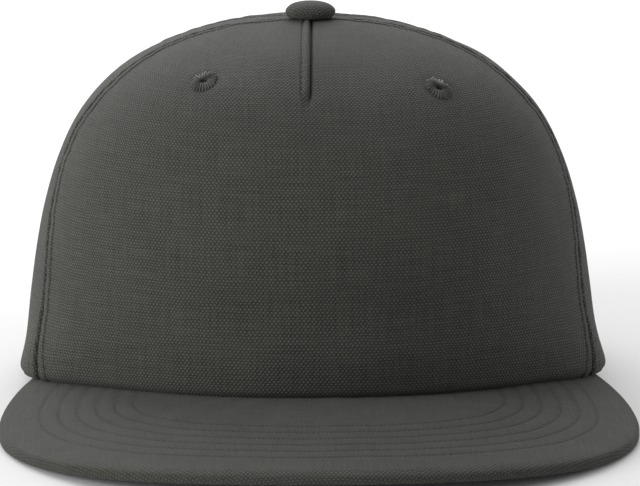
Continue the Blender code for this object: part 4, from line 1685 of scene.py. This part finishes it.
@dataclass
class Sweatband:
    """The plain band inside the hem, with a turned and stitched upper edge."""

    shape: CapShape
    height: float = 30.0 * MM
    thickness: float = 1.4 * MM
    gap: float = 0.7 * MM
    end_gap: float = 2.0 * MM
    strap_overlap: float = 12.0 * MM
    strap_gap: float = 0.3 * MM
    columns: int = 360
    rows: int = 34
    turned: float = 3.0 * MM
    turn_rise: float = 0.22 * MM
    turn_end: float = 1.2 * MM
    groove: float = 0.25 * MM
    groove_width: float = 0.5 * MM
    slow: float = 0.12 * MM

    @property
    def end_angle(self) -> float:
        """Angle where the band ends beside the strap."""
        inside = self.shape.back_reach - self.shape.cloth - self.strap_gap
        half = math.degrees(math.asin((self.shape.arch_radius + self.strap_overlap) / inside))
        return 180.0 - half - math.degrees(self.end_gap / self.shape.back_reach)

    def build(self, finishes: Finishes) -> None:
        """The band as a closed wall: an inner copy of the crown's surface from over the peak upward."""
        shape = self.shape
        angle = np.linspace(-self.end_angle, self.end_angle, self.columns + 1)
        depth = shape.cloth + self.gap
        top = float(shape.way_at_height(self.height / shape.crown_height))
        ways = np.linspace(0.0, top, 61)[:, None]
        lines = shape.point(angle, ways) - shape.normal(angle, ways) * depth
        inner_edge = lines[0] - shape.normal(angle, 0.0) * self.thickness
        bottom = shape.hem_over(inner_edge[:, 0], inner_edge[:, 1]) + 0.3 * MM * (lines[0, :, 2] > 1.0 * MM)
        start = np.array([np.interp(low, line, ways[:, 0]) for low, line in zip(bottom, lines[..., 2].T)])
        share = np.linspace(0.0, 1.0, self.rows)[:, None]
        way = start + (top - start) * share
        normal = shape.normal(angle, way)
        outer = shape.point(angle, way) - normal * depth
        outer[0, :, 2] = bottom
        up = np.swapaxes(running_length(np.swapaxes(outer, 0, 1)), 0, 1)
        along = np.broadcast_to(running_length(outer[0]), up.shape)
        from_top = up[-1:] - up
        fold = self.turn_rise * (1.0 - smooth(self.turned, self.turned + self.turn_end, from_top))
        fold = fold - self.groove * bell(from_top, self.turned, self.groove_width)
        fold = fold + self.slow * ripple(along, (23.0 * MM, 37.0 * MM), 0.2)
        inner = outer - normal * (self.thickness + fold)[..., None]
        over_table(inner, outer)
        uv = np.stack([along, up], axis=-1)
        made = MeshMaker.shell("sweatband_twill", outer, inner, uv)
        dress(made, finishes.band, "sweatband_cloth", "sweatband")
        row = int(np.argmin(np.abs(from_top[:, 0] - self.turned)))
        stitches = Stitching().build("sweatband_stitches", [(inner[row], -normal[row])])
        dress(stitches, finishes.thread, "thread")


@dataclass
class BackStrap:
    """The plain moulded strap across the back opening, with soft edges."""

    shape: CapShape
    height: float = 18.0 * MM
    thickness: float = 1.4 * MM
    gap: float = 0.3 * MM
    overlap: float = 12.0 * MM
    columns: int = 160
    around: int = 48
    power: float = 0.22

    def build(self, finish: bpy.types.Material) -> bpy.types.Object:
        """The strap: a rounded oblong section carried along the inside of the crown's back.

        The section is a superellipse with a small power, half as high as the strap and half as thick.
        """
        shape = self.shape
        inside = shape.back_reach - shape.cloth - self.gap
        half = math.degrees(math.asin((shape.arch_radius + self.overlap) / inside))
        angle = np.linspace(180.0 - half, 180.0 + half, self.columns + 1)
        wrapped = np.where(angle > 180.0, angle - 360.0, angle)
        ways = shape.way_at_height(np.linspace(0.0, self.height / shape.crown_height, 9))[:, None]
        wall = shape.point(wrapped, ways) - shape.normal(wrapped, ways) * (shape.cloth + self.gap)
        nearest = np.hypot(wall[..., 0], wall[..., 1] - shape.shift).argmin(axis=0)
        line = wall[nearest, np.arange(len(angle)), :2]
        ahead = np.gradient(line, axis=0)
        outward = unit(np.stack([ahead[:, 1], -ahead[:, 0]], axis=-1))
        centre = np.array([0.0, shape.shift])
        outward = outward * np.sign((outward * (line - centre)).sum(axis=1, keepdims=True))
        turn = turns(self.around)
        up = signed_power(np.sin(turn), 0.8)
        out = signed_power(np.cos(turn), self.power)
        height = self.height / 2 * (1.0 + up)
        depth = -self.thickness / 2 * (1.0 - out)
        rows = len(angle)
        plan = line[:, None] + outward[:, None] * depth[None, :, None]
        heights = np.broadcast_to(height[None, :, None], (rows, self.around, 1))
        points = np.concatenate([plan, heights], axis=-1)
        ring = np.arange(self.around)
        caps = [ring[::-1].tolist(), (ring + (rows - 1) * self.around).tolist()]
        faces = MeshMaker.grid_faces(rows, self.around, closed=True).tolist() + caps
        along = running_length(line)
        uv = np.stack(np.broadcast_arrays(along[:, None], height[None, :]), axis=-1)
        made = MeshMaker.thing("back_strap_moulded", points, faces, uv)
        return dress(made, finish, "strap_plastic", "back_strap")


@dataclass(frozen=True)
class AreaLight:
    """A soft studio light aimed at the cap."""

    name: str
    place: Triple
    size: tuple[float, float]
    power: float
    aim: Triple = (0.0, 0.0, 0.05)

    def build(self) -> None:
        """The light, turned so that its -Z points at its aim."""
        data = bpy.data.lights.new(self.name, "AREA")
        data.shape = "RECTANGLE"
        data.size, data.size_y = self.size
        data.energy = self.power
        aim(linked(self.name, data), self.place, self.aim)


def aim(made: bpy.types.Object, place: Triple, target: Triple) -> None:
    """Put a light or a camera at a place and turn its -Z to a target, with its Y up."""
    forward = unit(np.array(target) - np.array(place))
    right = unit(np.cross(forward, np.array([0.0, 0.0, 1.0])))
    up = np.cross(right, forward)
    matrix = np.eye(4)
    matrix[:3, 0], matrix[:3, 1], matrix[:3, 2], matrix[:3, 3] = right, up, -forward, place
    made.matrix_world = matrix.T.tolist()


@dataclass
class Studio:
    """The pale floor, the soft lights and the camera at the photo's angle."""

    distance: float = 1.3
    elevation: float = 11.696
    azimuth: float = -1.814
    target: Triple = (1.594 * MM, -10.0 * MM, 50.81 * MM)
    focal_pixels: float = 4155.0
    sensor: float = 36.0
    floor_size: float = 40.0

    def camera(self) -> None:
        """A long lens, aimed so that the cap fills the frame as in the photo."""
        turn = math.radians(self.azimuth)
        tilt = math.radians(self.elevation)
        back = (math.sin(turn) * math.cos(tilt), -math.cos(turn) * math.cos(tilt), math.sin(tilt))
        place = tuple(t + self.distance * b for t, b in zip(self.target, back))
        data = bpy.data.cameras.new("camera")
        data.sensor_width = self.sensor
        data.lens = self.focal_pixels * self.sensor / PHOTO_WIDTH
        data.clip_start = 0.01
        made = linked("camera", data)
        aim(made, place, self.target)
        bpy.context.scene.camera = made

    def floor(self) -> None:
        """A plain pale floor, wider than the view."""
        half = self.floor_size / 2
        points = np.array([[-half, -half, 0.0], [half, -half, 0.0], [half, half, 0.0], [-half, half, 0.0]])
        made = MeshMaker.thing("floor", points, [[0, 1, 2, 3]])
        nodes = Nodes("pale_floor")
        nodes.set(Base_Color=(0.86, 0.86, 0.86, 1.0), Roughness=0.9, Specular_IOR_Level=0.1)
        made.data.materials.append(nodes.material)

    def lights(self) -> None:
        """Soft lights on the left, on the right, overhead and behind, and a pale sky."""
        AreaLight("left_softbox", (-2.8, -1.2, 0.9), (2.0, 1.6), 74.0).build()
        AreaLight("right_softbox", (3.2, 0.4, 1.2), (2.0, 2.0), 13.0).build()
        AreaLight("overhead", (-0.3, 1.4, 3.0), (3.6, 2.4), 35.0).build()
        AreaLight("back_softbox", (-0.4, 3.2, 1.8), (3.6, 2.0), 98.0).build()
        world = bpy.data.worlds.new("studio")
        world.use_nodes = True
        sky = world.node_tree.nodes["Background"]
        sky.inputs["Color"].default_value = (1.0, 1.0, 1.0, 1.0)
        sky.inputs["Strength"].default_value = 0.42
        bpy.context.scene.world = world

    def build(self) -> None:
        """Floor, lights and camera."""
        self.camera()
        self.floor()
        self.lights()
        bpy.context.scene.view_settings.view_transform = "Standard"


def main() -> None:
    """Build the studio and the cap, piece by piece."""
    logging.basicConfig(level=logging.INFO, format="%(message)s")
    shape = CapShape()
    finishes = Finishes()
    Studio().build()
    Crown(shape, finishes).build()
    Button(shape).build(finishes.canvas)
    Peak(shape).build_all(finishes)
    Sweatband(shape).build(finishes)
    BackStrap(shape).build(finishes.plastic)


if __name__ == "__main__":
    main()
